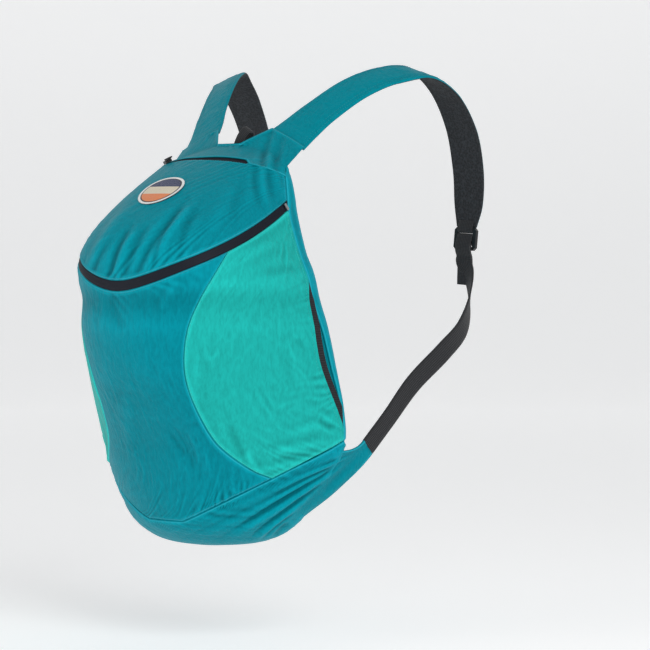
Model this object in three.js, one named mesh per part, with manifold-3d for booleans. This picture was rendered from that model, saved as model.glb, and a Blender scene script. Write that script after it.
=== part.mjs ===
// Packable backpack in thin nylon, in millimetres, +Z up, +X to the right as it is worn, -Y the
// outer face of the bag. The pieces are laid out from the bag's base, with y = 0 on the plane of
// its back panel, and the whole is then moved so that the origin lies midway between the
// undersides of the two shoulder strap crests, where the pack hangs in use.
import * as THREE from 'three';
import Module from 'manifold-3d';

const wasm = await Module();
wasm.setup();

// Driving sizes: the bag
const bagHeight = 401;
const backHalfWidth = 155;
const bagDepth = 176;
const cloth = 1.5;
const seamGap = 0.3;
const sideStripTop = 27;
const sideStripBase = 14;
const frontZipHeight = 262;
const frontZipRise = 79;
const frontZipWidth = 10;
const topZipHeight = 388;
const topZipEndHeight = 371;
const topZipWidth = 8;
const armpitHeight = 376;
const neckWidth = 30;
const neckHem = 3;
const bottomSeamHeight = 28;
const bottomSeamRise = 81;
const backSeamDrop = 10;

// Driving sizes: the side pockets
const pocketLift = 7;
const pocketSlack = 12;
const mouthInset = 16;
const mouthFoot = 0.06;
const mouthHead = 0.70;
const gussetInset = 1;
const elasticWidth = 7;
const elasticCloth = 2;

// Driving sizes: the shoulder straps, the wings and webbing that hold them down, and the buckles
const strapWidth = 42;
const strapThickness = 4;
const strapCrown = 1.2;
const shoulderSpread = 130;
const shoulderReach = 132;
const crestHeight = 480;
const webbingWidth = 20;
const webbingThickness = 1.6;
const wingForward = 25;
const wingHeight = 101;
const wingRootTop = 106;
const wingRootBottom = 44;
const wingRootInset = 5;
const wingSag = 5;
const wingThickness = 3;
const buckleWidth = 28;
const buckleLength = 24;
const buckleThickness = 4;
const buckleBar = 4;

// Driving sizes: small pieces
const patchDiameter = 50;
const patchThickness = 1.2;
const patchForward = 110;
const loopWebbingWidth = 10;
const loopThickness = 1.4;
const loopLength = 28;
const loopDrop = 6;
const loopOpening = 10;
const tapeCrown = 0.5;
const sliderLength = 9;
const sliderWidth = 7;
const sliderHeight = 3;
const pullLength = 12;
const pullWidth = 5;
const pullThickness = 1.4;
const zipStopLength = 3;
const zipStopWidth = 7;
const zipStopThickness = 1.2;

// Mesh divisions, shared by pieces that meet so that their edges run together
const strapSteps = 30;
const frontColumns = 12;
const pocketColumns = 8;
const pocketRows = 12;
const topRows = 9;
const yokeRows = 3;
const rootRows = 3;
const ridgeRows = 6;
const backColumns = 10;
const baseRows = 7;

// Body sections from the base up. height is a share of bagHeight, width of backHalfWidth, and
// front, widest and rear say how far out of the back plane the outline's front, widest place and
// back lie as shares of bagDepth. blunt says how flat the outline's front is, full how far it
// swells between there and its widest place, and square how boxy its back is.
const bodySections = [
  { height: 0.0, width: 0.16, front: 0.33, widest: 0.25, rear: 0.17, blunt: 2.0, full: 2.0, square: 2.0 },
  { height: 0.0075, width: 0.34, front: 0.42, widest: 0.21, rear: 0.09, blunt: 2.0, full: 2.0, square: 2.4 },
  { height: 0.025, width: 0.50, front: 0.50, widest: 0.16, rear: 0.04, blunt: 1.9, full: 1.9, square: 3.0 },
  { height: 0.06, width: 0.63, front: 0.59, widest: 0.12, rear: 0.015, blunt: 1.95, full: 1.85, square: 3.4 },
  { height: 0.122, width: 0.76, front: 0.645, widest: 0.09, rear: 0.0, blunt: 2.0, full: 1.75, square: 3.5 },
  { height: 0.192, width: 0.90, front: 0.68, widest: 0.08, rear: 0.0, blunt: 2.15, full: 1.4, square: 3.5 },
  { height: 0.262, width: 0.995, front: 0.715, widest: 0.08, rear: 0.0, blunt: 2.3, full: 1.15, square: 3.5 },
  { height: 0.354, width: 0.99, front: 0.815, widest: 0.09, rear: 0.0, blunt: 2.35, full: 1.1, square: 3.5 },
  { height: 0.454, width: 0.935, front: 0.93, widest: 0.11, rear: 0.0, blunt: 2.35, full: 1.15, square: 3.5 },
  { height: 0.546, width: 0.885, front: 0.985, widest: 0.13, rear: 0.0, blunt: 2.35, full: 1.32, square: 3.5 },
  { height: 0.616, width: 0.815, front: 0.975, widest: 0.135, rear: 0.0, blunt: 2.35, full: 1.65, square: 3.5 },
  { height: 0.666, width: 0.785, front: 0.985, widest: 0.14, rear: 0.0, blunt: 2.4, full: 2.1, square: 3.5 },
  { height: 0.728, width: 0.71, front: 0.97, widest: 0.14, rear: 0.0, blunt: 2.6, full: 2.6, square: 3.5 },
  { height: 0.798, width: 0.64, front: 0.865, widest: 0.125, rear: 0.0, blunt: 2.6, full: 2.6, square: 3.5 },
  { height: 0.868, width: 0.59, front: 0.68, widest: 0.10, rear: 0.0, blunt: 2.2, full: 2.2, square: 3.5 },
  { height: 0.925, width: 0.53, front: 0.47, widest: 0.07, rear: 0.0, blunt: 2.0, full: 2.0, square: 3.4 },
  { height: 0.958, width: 0.465, front: 0.33, widest: 0.045, rear: 0.0, blunt: 2.0, full: 2.0, square: 3.0 },
  { height: 0.982, width: 0.31, front: 0.21, widest: 0.03, rear: 0.0, blunt: 2.0, full: 2.0, square: 2.6 },
  { height: 1.0, width: 0.105, front: 0.07, widest: 0.035, rear: 0.03, blunt: 2.0, full: 2.0, square: 2.2 },
];

// Front edge of the side pocket from its bottom tip to its top corner: rise is a share of the way
// up, reach a share of the way from the centre front to the side seam.
const pocketEdge = [
  { rise: 0.00, reach: 0.670 },
  { rise: 0.06, reach: 0.515 },
  { rise: 0.155, reach: 0.378 },
  { rise: 0.28, reach: 0.320 },
  { rise: 0.42, reach: 0.303 },
  { rise: 0.56, reach: 0.323 },
  { rise: 0.71, reach: 0.373 },
  { rise: 0.85, reach: 0.455 },
  { rise: 1.00, reach: 0.565 },
];

// Shoulder strap from its seam on the yoke, over the crest and down to its buckle: out is a share
// of shoulderSpread, forward of shoulderReach, up of crestHeight and width of strapWidth. slope is
// the sine of the strap's fall towards the arm.
const strapRoute = [
  { out: 0.45, forward: 0.10, up: 0.850, width: 1.22, slope: 0.36 },
  { out: 0.50, forward: 0.21, up: 0.876, width: 1.12, slope: 0.34 },
  { out: 0.58, forward: 0.35, up: 0.911, width: 1.04, slope: 0.33 },
  { out: 0.71, forward: 0.59, up: 0.960, width: 1.00, slope: 0.33 },
  { out: 0.85, forward: 0.83, up: 0.990, width: 0.98, slope: 0.32 },
  { out: 1.00, forward: 1.06, up: 0.995, width: 0.98, slope: 0.30 },
  { out: 1.07, forward: 1.29, up: 0.954, width: 0.98, slope: 0.25 },
  { out: 1.10, forward: 1.47, up: 0.878, width: 0.98, slope: 0.15 },
  { out: 1.11, forward: 1.55, up: 0.790, width: 0.96, slope: 0.06 },
  { out: 1.10, forward: 1.57, up: 0.715, width: 0.88, slope: 0.00 },
  { out: 1.09, forward: 1.56, up: 0.665, width: 0.62, slope: 0.00 },
];

// Lower webbing between the wing's tip and the buckle, on its way round the waist, as shares of the
// same three sizes. face is how far its outer side turns from straight out towards the back.
const webbingRoute = [
  { out: 1.225, forward: 0.40, up: 0.269, face: 0.05 },
  { out: 1.255, forward: 0.65, up: 0.336, face: 0.20 },
  { out: 1.285, forward: 1.00, up: 0.402, face: 0.35 },
  { out: 1.270, forward: 1.25, up: 0.447, face: 0.00 },
  { out: 1.205, forward: 1.43, up: 0.502, face: -0.60 },
  { out: 1.125, forward: 1.53, up: 0.560, face: -1.15 },
];

// Soft puckers gathered into the top panel above the front zip: place is a share of the way from
// the centre to the side seam, depth in millimetres and spread a share of the panel's width.
const puckers = [
  { place: -0.62, depth: 1.6, spread: 0.050 },
  { place: -0.38, depth: 2.0, spread: 0.045 },
  { place: -0.14, depth: 2.2, spread: 0.050 },
  { place: 0.12, depth: 1.8, spread: 0.045 },
  { place: 0.36, depth: 2.0, spread: 0.050 },
  { place: 0.64, depth: 1.6, spread: 0.045 },
  { place: 0.84, depth: 1.4, spread: 0.040 },
];

const pack = new THREE.Group();

const finishes = {
  nylonTeal: new THREE.MeshStandardMaterial({ color: 0x098a98, roughness: 0.55, metalness: 0 }),
  nylonMint: new THREE.MeshStandardMaterial({ color: 0x22b4ac, roughness: 0.55, metalness: 0 }),
  webbingBlack: new THREE.MeshStandardMaterial({ color: 0x17181b, roughness: 0.8, metalness: 0 }),
  zipNavy: new THREE.MeshStandardMaterial({ color: 0x17212d, roughness: 0.6, metalness: 0 }),
  plasticBlack: new THREE.MeshStandardMaterial({ color: 0x121316, roughness: 0.4, metalness: 0 }),
  metalGrey: new THREE.MeshStandardMaterial({ color: 0xb4b6b8, roughness: 0.3, metalness: 1 }),
  patchCloth: new THREE.MeshStandardMaterial({ color: 0xe9e4d6, roughness: 0.9, metalness: 0 }),
};

function addPiece(name, geometry, finish) {
  const mesh = new THREE.Mesh(geometry, finish);
  mesh.name = name;
  pack.add(mesh);
}

// Smooth curve through the rows of a table, at a place counted in rows
function readTable(rows, place, column) {
  const last = rows.length - 1;
  const row = Math.min(Math.max(Math.floor(place), 0), last - 1);
  const f = place - row;
  const at = (i) => rows[Math.min(Math.max(i, 0), last)][column];
  const before = row > 0 ? at(row - 1) : 2 * at(0) - at(1);
  const after = row < last - 1 ? at(row + 2) : 2 * at(last) - at(last - 1);
  const slopeIn = (at(row + 1) - before) / 2;
  const slopeOut = (after - at(row)) / 2;
  const rise = at(row + 1) - at(row);
  const bend = 3 * rise - 2 * slopeIn - slopeOut;
  const turn = slopeIn + slopeOut - 2 * rise;
  return at(row) + f * (slopeIn + f * (bend + f * turn));
}

// The body's form
const topLevel = bodySections.length - 1;

function sectionAt(level) {
  const read = (column) => readTable(bodySections, level, column);
  return {
    height: read('height') * bagHeight,
    width: read('width') * backHalfWidth,
    front: -read('front') * bagDepth,
    widest: -read('widest') * bagDepth,
    rear: -read('rear') * bagDepth,
    blunt: read('blunt'),
    full: read('full'),
    square: read('square'),
  };
}

function ringPoint(ring, angle) {
  const side = Math.abs(Math.sin(angle));
  const along = Math.cos(angle);
  const ahead = along > 0;
  const end = ahead ? ring.front : ring.rear;
  const x = ring.width * side ** (2 / (ahead ? ring.blunt : ring.square));
  const run = Math.abs(along) ** (2 / (ahead ? ring.full : ring.square));
  return new THREE.Vector3(x, ring.widest + (end - ring.widest) * run, ring.height);
}

const ringSteps = 60;

// Lengths along half a section from the centre front to the centre back
function ringLengths(ring) {
  const lengths = [0];
  let last = ringPoint(ring, 0);
  for (let i = 1; i <= ringSteps; i++) {
    const point = ringPoint(ring, (Math.PI * i) / ringSteps);
    lengths.push(lengths[i - 1] + point.distanceTo(last));
    last = point;
  }
  return lengths;
}

// Point of the body's form: share runs from 0 at the centre front to 1 (right) or -1 (left) at the
// centre back, along the section's own length, and level counts rows of the table from the base.
function bodyPoint(share, level) {
  const turned = share > 1 ? share - 2 : share < -1 ? share + 2 : share;
  const ring = sectionAt(level);
  const lengths = ringLengths(ring);
  const wanted = Math.abs(turned) * lengths[ringSteps];
  let i = 1;
  while (i < ringSteps && lengths[i] < wanted) {
    i++;
  }
  const f = (wanted - lengths[i - 1]) / (lengths[i] - lengths[i - 1]);
  const point = ringPoint(ring, (Math.PI * (i - 1 + f)) / ringSteps);
  if (turned < 0) {
    point.x = -point.x;
  }
  return point;
}

function bodyNormal(share, level) {
  const step = 0.004;
  const low = Math.max(level - 0.03, 0);
  const high = Math.min(level + 0.03, topLevel);
  const across = bodyPoint(share + step, level).sub(bodyPoint(share - step, level));
  const up = bodyPoint(share, high).sub(bodyPoint(share, low));
  return across.cross(up).normalize();
}

function levelAt(height) {
  let low = 0;
  let high = topLevel;
  for (let i = 0; i < 30; i++) {
    const middle = (low + high) / 2;
    if (readTable(bodySections, middle, 'height') * bagHeight < height) {
      low = middle;
    } else {
      high = middle;
    }
  }
  return (low + high) / 2;
}

// Share of the way round a section at which its outline lies a distance in front of its back
function shareFromBack(ring, distance) {
  let low = 0;
  let high = Math.PI;
  for (let i = 0; i < 30; i++) {
    const middle = (low + high) / 2;
    if (ringPoint(ring, middle).y < ring.rear - distance) {
      low = middle;
    } else {
      high = middle;
    }
  }
  const lengths = ringLengths(ring);
  const place = (ringSteps * low) / Math.PI;
  const i = Math.min(Math.floor(place), ringSteps - 1);
  const length = lengths[i] + (place - i) * (lengths[i + 1] - lengths[i]);
  return length / lengths[ringSteps];
}

function smooth(f) {
  const g = Math.min(Math.max(f, 0), 1);
  return g * g * (3 - 2 * g);
}

// The back panel wraps round the corner to the side seam, by more above than at the base, but by
// no more than a fifth of the section's depth near the neck.
function sideShare(level) {
  const ring = sectionAt(level);
  const seamTop = bottomSeamHeight + bottomSeamRise;
  const rise = smooth((ring.height - seamTop) / (frontZipHeight - seamTop));
  const strip = sideStripBase + (sideStripTop - sideStripBase) * rise;
  return shareFromBack(ring, Math.min(strip, (ring.rear - ring.front) / 5));
}

// Seams as places on the body. Each takes how far it is from the centre front to the side seam.
function seamPlace(reach, height) {
  const level = levelAt(height);
  return { share: reach * sideShare(level), level };
}

// A seam that is flat at the centre and rises steadily towards the sides
function vee(reach, roundness) {
  return (Math.hypot(reach, roundness) - roundness) / (Math.hypot(1, roundness) - roundness);
}

const steps = (count) => Array.from({ length: count + 1 }, (unused, i) => i / count);
const between = (from, to, count) => steps(count).map((f) => from + (to - from) * f);
const mirrored = (places) => places.map((place) => ({ share: -place.share, level: place.level }));

function frontZipEdge(reach, side) {
  const roundness = 0.18;
  const middle = frontZipHeight + frontZipRise * vee(reach, roundness);
  return seamPlace(reach, middle + (side * frontZipWidth) / 2);
}

function bottomSeamHeightAt(reach) {
  const flat = 0.15;
  const rise = Math.max(Math.abs(reach) - flat, 0) / (1 - flat);
  return bottomSeamHeight + bottomSeamRise * rise ** 1.2;
}

function bottomSeamEdge(reach) {
  return seamPlace(reach, bottomSeamHeightAt(reach));
}

// The top zip lies on a slope, so its tape's height is a part of its width, and it narrows towards
// the side seams.
function topZipEdge(reach, side) {
  const drop = (topZipHeight - topZipEndHeight) * Math.abs(reach) ** 3;
  const slant = 0.4;
  const open = 1 - 0.6 * smooth((Math.abs(reach) - 0.7) / 0.3);
  return seamPlace(reach, topZipHeight - drop + (side * topZipWidth * slant * open) / 2);
}

const pocketTop = pocketEdge[pocketEdge.length - 1].reach;
const pocketTip = pocketEdge[0].reach;

function pocketFrontEdge(f) {
  const place = f * (pocketEdge.length - 1);
  const reach = readTable(pocketEdge, place, 'reach');
  const foot = bottomSeamHeightAt(pocketTip);
  const head = sectionAt(frontZipEdge(pocketTop, -1).level).height;
  return seamPlace(reach, foot + (head - foot) * readTable(pocketEdge, place, 'rise'));
}

// The side seam between two heights
function sideSeam(fromPlace, toPlace, count) {
  const from = sectionAt(fromPlace.level).height;
  const to = sectionAt(toPlace.level).height;
  return between(from, to, count).map((height) => seamPlace(1, height));
}

// Places inside four edges that meet at their ends
function fillPlaces(low, high, left, right) {
  const columns = low.length - 1;
  const rows = left.length - 1;
  return left.map((unused, j) => {
    const v = j / rows;
    return low.map((unusedToo, i) => {
      const u = i / columns;
      const mix = (key) => (1 - v) * low[i][key] + v * high[i][key]
        + (1 - u) * left[j][key] + u * right[j][key]
        - (1 - u) * ((1 - v) * low[0][key] + v * high[0][key])
        - u * ((1 - v) * low[columns][key] + v * high[columns][key]);
      return { share: mix('share'), level: mix('level') };
    });
  });
}

// Points and outward normals of the body's form at a net of places, raised by a relief in
// millimetres that takes the two counts across and up the net as shares.
function bodyNet(places, relief = () => 0) {
  const normals = places.map((row) => row.map((p) => bodyNormal(p.share, p.level)));
  const points = places.map((row, j) => row.map((p, i) => {
    const raise = relief(i / (row.length - 1), j / (places.length - 1));
    return bodyPoint(p.share, p.level).addScaledVector(normals[j][i], raise);
  }));
  return { points, normals };
}

// Normals of a net of points, on the side that a flag chooses
function netNormals(points, side = 1) {
  const at = (list, i) => list[Math.min(Math.max(i, 0), list.length - 1)];
  return points.map((row, j) => row.map((unused, i) => {
    const across = at(row, i + 1).clone().sub(at(row, i - 1));
    const up = at(points, j + 1)[i].clone().sub(at(points, j - 1)[i]);
    return across.cross(up).normalize().multiplyScalar(side);
  }));
}

// Moves a net's four edges inwards, square to themselves
function insetEdges(points, gap) {
  const moved = points.map((row) => row.map((p) => p.clone()));
  const pull = (point, inner, before, after) => {
    const along = after.clone().sub(before).normalize();
    const inwards = inner.clone().sub(point);
    inwards.addScaledVector(along, -inwards.dot(along));
    return inwards.normalize().multiplyScalar(gap);
  };
  const rows = points.length - 1;
  const columns = points[0].length - 1;
  const low = points[0];
  const high = points[rows];
  for (let i = 0; i <= columns; i++) {
    const before = Math.max(i - 1, 0);
    const after = Math.min(i + 1, columns);
    moved[0][i].add(pull(low[i], points[1][i], low[before], low[after]));
    moved[rows][i].add(pull(high[i], points[rows - 1][i], high[before], high[after]));
  }
  for (let j = 0; j <= rows; j++) {
    const before = points[Math.max(j - 1, 0)];
    const after = points[Math.min(j + 1, rows)];
    moved[j][0].add(pull(points[j][0], points[j][1], before[0], after[0]));
    moved[j][columns].add(pull(points[j][columns], points[j][columns - 1], before[columns], after[columns]));
  }
  return moved;
}

// Closed solid between two nets of points; a net that runs right round joins its two sides
function solidBetween(outer, inner, around = false) {
  const numbers = [];
  const faces = [];
  const known = new Map();
  const id = (p) => {
    const key = [p.x, p.y, p.z].map((n) => n.toFixed(4)).join();
    if (!known.has(key)) {
      known.set(key, numbers.length / 3);
      numbers.push(p.x, p.y, p.z);
    }
    return known.get(key);
  };
  const triangle = (a, b, c) => {
    if (a !== b && b !== c && c !== a) {
      faces.push(a, b, c);
    }
  };
  const quad = (a, b, c, d) => {
    triangle(id(a), id(b), id(c));
    triangle(id(a), id(c), id(d));
  };
  const rows = outer.length - 1;
  const columns = outer[0].length - 1;
  for (let j = 0; j < rows; j++) {
    for (let i = 0; i < columns; i++) {
      quad(outer[j][i], outer[j][i + 1], outer[j + 1][i + 1], outer[j + 1][i]);
      quad(inner[j][i], inner[j + 1][i], inner[j + 1][i + 1], inner[j][i + 1]);
    }
    if (!around) {
      quad(outer[j][0], outer[j + 1][0], inner[j + 1][0], inner[j][0]);
      quad(outer[j][columns], inner[j][columns], inner[j + 1][columns], outer[j + 1][columns]);
    }
  }
  for (let i = 0; i < columns; i++) {
    quad(outer[0][i], inner[0][i], inner[0][i + 1], outer[0][i + 1]);
    quad(outer[rows][i], outer[rows][i + 1], inner[rows][i + 1], inner[rows][i]);
  }
  const geometry = new THREE.BufferGeometry();
  geometry.setAttribute('position', new THREE.Float32BufferAttribute(numbers, 3));
  geometry.setIndex(outwards(numbers, faces));
  geometry.computeVertexNormals();
  return geometry;
}

// Turns all the triangles over where they enclose a negative volume
function outwards(numbers, faces) {
  const corner = (i) => new THREE.Vector3(...numbers.slice(3 * faces[i], 3 * faces[i] + 3));
  let volume = 0;
  for (let i = 0; i < faces.length; i += 3) {
    volume += corner(i).dot(corner(i + 1).cross(corner(i + 2)));
  }
  if (volume > 0) {
    return faces;
  }
  const turned = [];
  for (let i = 0; i < faces.length; i += 3) {
    turned.push(faces[i], faces[i + 2], faces[i + 1]);
  }
  return turned;
}

// A net moved along its normals
function raised(points, normals, amount) {
  return points.map((row, j) => row.map((p, i) => p.clone().addScaledVector(normals[j][i], amount)));
}

// A cloth wall under a net, with a gap left along its edges
function sheet({ points, normals }, thickness, gap = seamGap / 2) {
  const outer = insetEdges(points, gap);
  return solidBetween(outer, raised(outer, normals, -thickness));
}

function toManifold(geometry) {
  const numbers = Float32Array.from(geometry.attributes.position.array);
  const faces = Uint32Array.from(geometry.index.array);
  return new wasm.Manifold(new wasm.Mesh({ numProp: 3, vertProperties: numbers, triVerts: faces }));
}

function fromManifold(solid) {
  const mesh = solid.getMesh();
  const geometry = new THREE.BufferGeometry();
  geometry.setAttribute('position', new THREE.Float32BufferAttribute(mesh.vertProperties, 3));
  geometry.setIndex(Array.from(mesh.triVerts));
  geometry.computeVertexNormals();
  return geometry;
}

const sides = [{ name: 'right', way: 1 }, { name: 'left', way: -1 }];

// A geometry of the right side, as it is or mirrored to the left. An extrusion has no index, so it
// gets a plain one.
function onSide(geometry, way) {
  const copy = geometry.clone();
  if (!copy.index) {
    copy.setIndex(Array.from({ length: copy.attributes.position.count }, (unused, i) => i));
  }
  if (way < 0) {
    copy.scale(-1, 1, 1);
    const turned = [];
    const faces = copy.index.array;
    for (let i = 0; i < faces.length; i += 3) {
      turned.push(faces[i], faces[i + 2], faces[i + 1]);
    }
    copy.setIndex(turned);
    copy.computeVertexNormals();
  }
  return copy;
}

// The front panel, between the two side pockets, from the bottom seam to the front zip
function frontPanel() {
  const low = between(-pocketTip, pocketTip, frontColumns).map(bottomSeamEdge);
  const high = between(-pocketTop, pocketTop, frontColumns).map((reach) => frontZipEdge(reach, -1));
  const right = steps(pocketRows).map(pocketFrontEdge);
  return sheet(bodyNet(fillPlaces(low, high, mirrored(right), right)), cloth);
}

// The right side pocket's places, from its front edge to the side seam
function pocketPlaces() {
  const low = between(pocketTip, 1, pocketColumns).map(bottomSeamEdge);
  const high = between(pocketTop, 1, pocketColumns).map((reach) => frontZipEdge(reach, -1));
  const front = steps(pocketRows).map(pocketFrontEdge);
  const rear = sideSeam(low[pocketColumns], high[pocketColumns], pocketRows);
  return fillPlaces(low, high, front, rear);
}

// How far the pocket's mouth stands open along its rear edge, from 0 at its ends to 1
function mouthOpen(v) {
  const along = (v - mouthFoot) / (mouthHead - mouthFoot);
  return Math.sin(Math.PI * Math.min(Math.max(along, 0), 1));
}

function shareOfLength(millimetres, level) {
  return millimetres / ringLengths(sectionAt(level))[ringSteps];
}

// The outer cloth of the pocket, drawn forward and standing proud at its mouth
function pocketNet() {
  const places = pocketPlaces().map((row, j) => row.map((p, i) => {
    const pulled = mouthInset * mouthOpen(j / pocketRows) * (i / pocketColumns) ** 2;
    return { share: p.share - shareOfLength(pulled, p.level), level: p.level };
  }));
  return bodyNet(places, (u, v) => pocketLift * mouthOpen(v) * u ** 2);
}

function sidePocket() {
  return sheet(pocketNet(), cloth);
}

// The side of the bag behind the pocket, slack so that the pocket has room
function sideGusset() {
  const under = cloth + 1.3 * seamGap;
  const slack = (u, v) => Math.sin(Math.PI * v) * (1 - (2 * u - 1) ** 4);
  const net = bodyNet(pocketPlaces(), (u, v) => -under - pocketSlack * slack(u, v));
  return sheet(net, cloth, gussetInset);
}

// Black elastic that carries on the pocket's cloth at its mouth
function pocketElastic() {
  const net = pocketNet();
  const places = pocketPlaces();
  const first = Math.ceil(mouthFoot * pocketRows);
  const last = Math.floor(mouthHead * pocketRows);
  const rows = between(first, last, last - first);
  const points = [];
  const normals = [];
  for (const j of rows) {
    const open = mouthOpen(j / pocketRows);
    const seam = places[j][pocketColumns];
    const edge = seam.share - shareOfLength(mouthInset * open, seam.level);
    const width = Math.min(elasticWidth, mouthInset * open);
    const row = [0, 0.5, 1].map((f) => {
      const share = edge + shareOfLength(width * f, seam.level);
      const normal = bodyNormal(share, seam.level);
      return { normal, point: bodyPoint(share, seam.level).addScaledVector(normal, pocketLift * open) };
    });
    row[0].point = net.points[j][pocketColumns].clone();
    points.push(row.map((entry) => entry.point));
    normals.push(row.map((entry) => entry.normal));
  }
  return sheet({ points, normals }, elasticCloth);
}

// Reaches along the whole front zip, with the pockets' corners among them
const zipReaches = [
  ...between(-1, -pocketTop, pocketColumns).slice(0, -1),
  ...between(-pocketTop, pocketTop, frontColumns).slice(0, -1),
  ...between(pocketTop, 1, pocketColumns),
];
const topReaches = between(-1, 1, zipReaches.length - 1);

// A zip's tape, between two edges, a little below the cloth beside it
function zipTape(reaches, edge) {
  const low = reaches.map((reach) => edge(reach, -1));
  const high = reaches.map((reach) => edge(reach, 1));
  const middle = low.map((p, i) => ({
    share: (p.share + high[i].share) / 2,
    level: (p.level + high[i].level) / 2,
  }));
  const net = bodyNet([low, middle, high], (u, v) => (v === 0.5 ? 0.5 : 0));
  return sheet(net, cloth);
}

// The panel over the front zip, gathered into soft puckers above it
function topPanel() {
  const low = zipReaches.map((reach) => frontZipEdge(reach, 1));
  const high = topReaches.map((reach) => topZipEdge(reach, -1));
  const right = sideSeam(low[low.length - 1], high[high.length - 1], topRows);
  const places = fillPlaces(low, high, mirrored(right), right);
  return sheet(bodyNet(places, puckerRelief), cloth);
}

function puckerRelief(u, v) {
  const fade = Math.sin(Math.PI * v) ** 0.8 * (1 - smooth((v - 0.3) / 0.5));
  let relief = 0;
  for (const pucker of puckers) {
    const away = (2 * u - 1 - pucker.place * (1 - 0.25 * v)) / (2 * pucker.spread);
    relief -= pucker.depth * Math.exp(-away * away);
  }
  return relief * fade;
}

// The back panel, from the bottom seam to the neck, wrapped round both back corners
function backPanel() {
  const low = backSeam();
  const yokeFoot = topZipEdge(1, 1);
  const joins = [
    low[0], frontZipEdge(1, -1), frontZipEdge(1, 1), topZipEdge(1, -1), yokeFoot, { level: topLevel },
  ];
  const counts = [pocketRows, 1, topRows, 1, ridgeRows];
  const seam = counts.flatMap((count, k) => sideSeam(joins[k], joins[k + 1], count).slice(k ? 1 : 0));
  const underYoke = 2 * cloth + seamGap;
  const right = seam.map((p) => {
    const tuck = underYoke * smooth((p.level - yokeFoot.level) / 0.3);
    return { share: p.share + shareOfLength(tuck, p.level), level: p.level };
  });
  const left = right.map((p) => ({ share: 2 - p.share, level: p.level }));
  const neck = right[right.length - 1].share;
  const high = between(neck, 2 - neck, backColumns).map((share) => ({ share, level: topLevel }));
  return sheet(bodyNet(fillPlaces(low, high, right, left)), cloth);
}

// The bottom seam across the back, from right to left, a little lower at the middle
function backSeam() {
  return steps(backColumns).map((f) => {
    const level = levelAt(bottomSeamHeightAt(1) - backSeamDrop * Math.sin(Math.PI * f));
    return { share: sideShare(level) + (2 - 2 * sideShare(level)) * f, level };
  });
}

// Closed loop of places along the bottom seam: front from left to right, then back to the left
function bottomLoop() {
  const reaches = [
    ...between(-1, -pocketTip, pocketColumns).slice(0, -1),
    ...between(-pocketTip, pocketTip, frontColumns).slice(0, -1),
    ...between(pocketTip, 1, pocketColumns),
  ];
  return [...reaches.map(bottomSeamEdge), ...backSeam().slice(1)];
}

// The bottom panel, a shallow dish closed at its middle
function bottomDish() {
  const loop = bottomLoop();
  const places = steps(baseRows).map((f) => loop.map((p) => ({ share: p.share, level: p.level * f })));
  const net = bodyNet(places);
  const ring = sectionAt(0);
  const middle = new THREE.Vector3(0, (ring.front + ring.rear) / 2, 0);
  const down = new THREE.Vector3(0, 0, -1);
  const points = [loop.map(() => middle.clone()), ...net.points];
  const normals = [loop.map(() => down), ...net.normals];
  const rim = points.length - 1;
  const lowered = points.map((row) => row.map((p) => p.clone()));
  lowered[rim].forEach((p, i) => {
    p.add(points[rim - 1][i].clone().sub(p).normalize().multiplyScalar(seamGap / 2));
  });
  return solidBetween(lowered, raised(lowered, normals, -cloth), true);
}

// Direction along a strap's width, square to its run
function acrossStrap(along, slope) {
  const fall = new THREE.Vector3(Math.sqrt(1 - slope * slope), 0, -slope);
  return fall.addScaledVector(along, -fall.dot(along)).normalize();
}

function routePoint(rows, place) {
  return new THREE.Vector3(
    readTable(rows, place, 'out') * shoulderSpread,
    readTable(rows, place, 'forward') * shoulderReach,
    readTable(rows, place, 'up') * crestHeight,
  );
}

function strapFrame(place) {
  const last = strapRoute.length - 1;
  const ahead = routePoint(strapRoute, Math.min(place + 0.05, last));
  const along = ahead.sub(routePoint(strapRoute, Math.max(place - 0.05, 0))).normalize();
  const across = acrossStrap(along, readTable(strapRoute, place, 'slope'));
  return {
    centre: routePoint(strapRoute, place),
    along,
    across,
    half: (readTable(strapRoute, place, 'width') * strapWidth) / 2,
  };
}

// The right shoulder strap, slightly crowned across its width
function shoulderStrap() {
  const points = steps(strapSteps).map((f) => {
    const { centre, along, across, half } = strapFrame(f * (strapRoute.length - 1));
    const outwards = along.clone().cross(across).normalize();
    return [-1, 0, 1].map((side) => centre.clone()
      .addScaledVector(across, side * half)
      .addScaledVector(outwards, side === 0 ? -strapCrown : 0));
  });
  return sheet({ points, normals: netNormals(points, 1) }, strapThickness);
}

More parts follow.
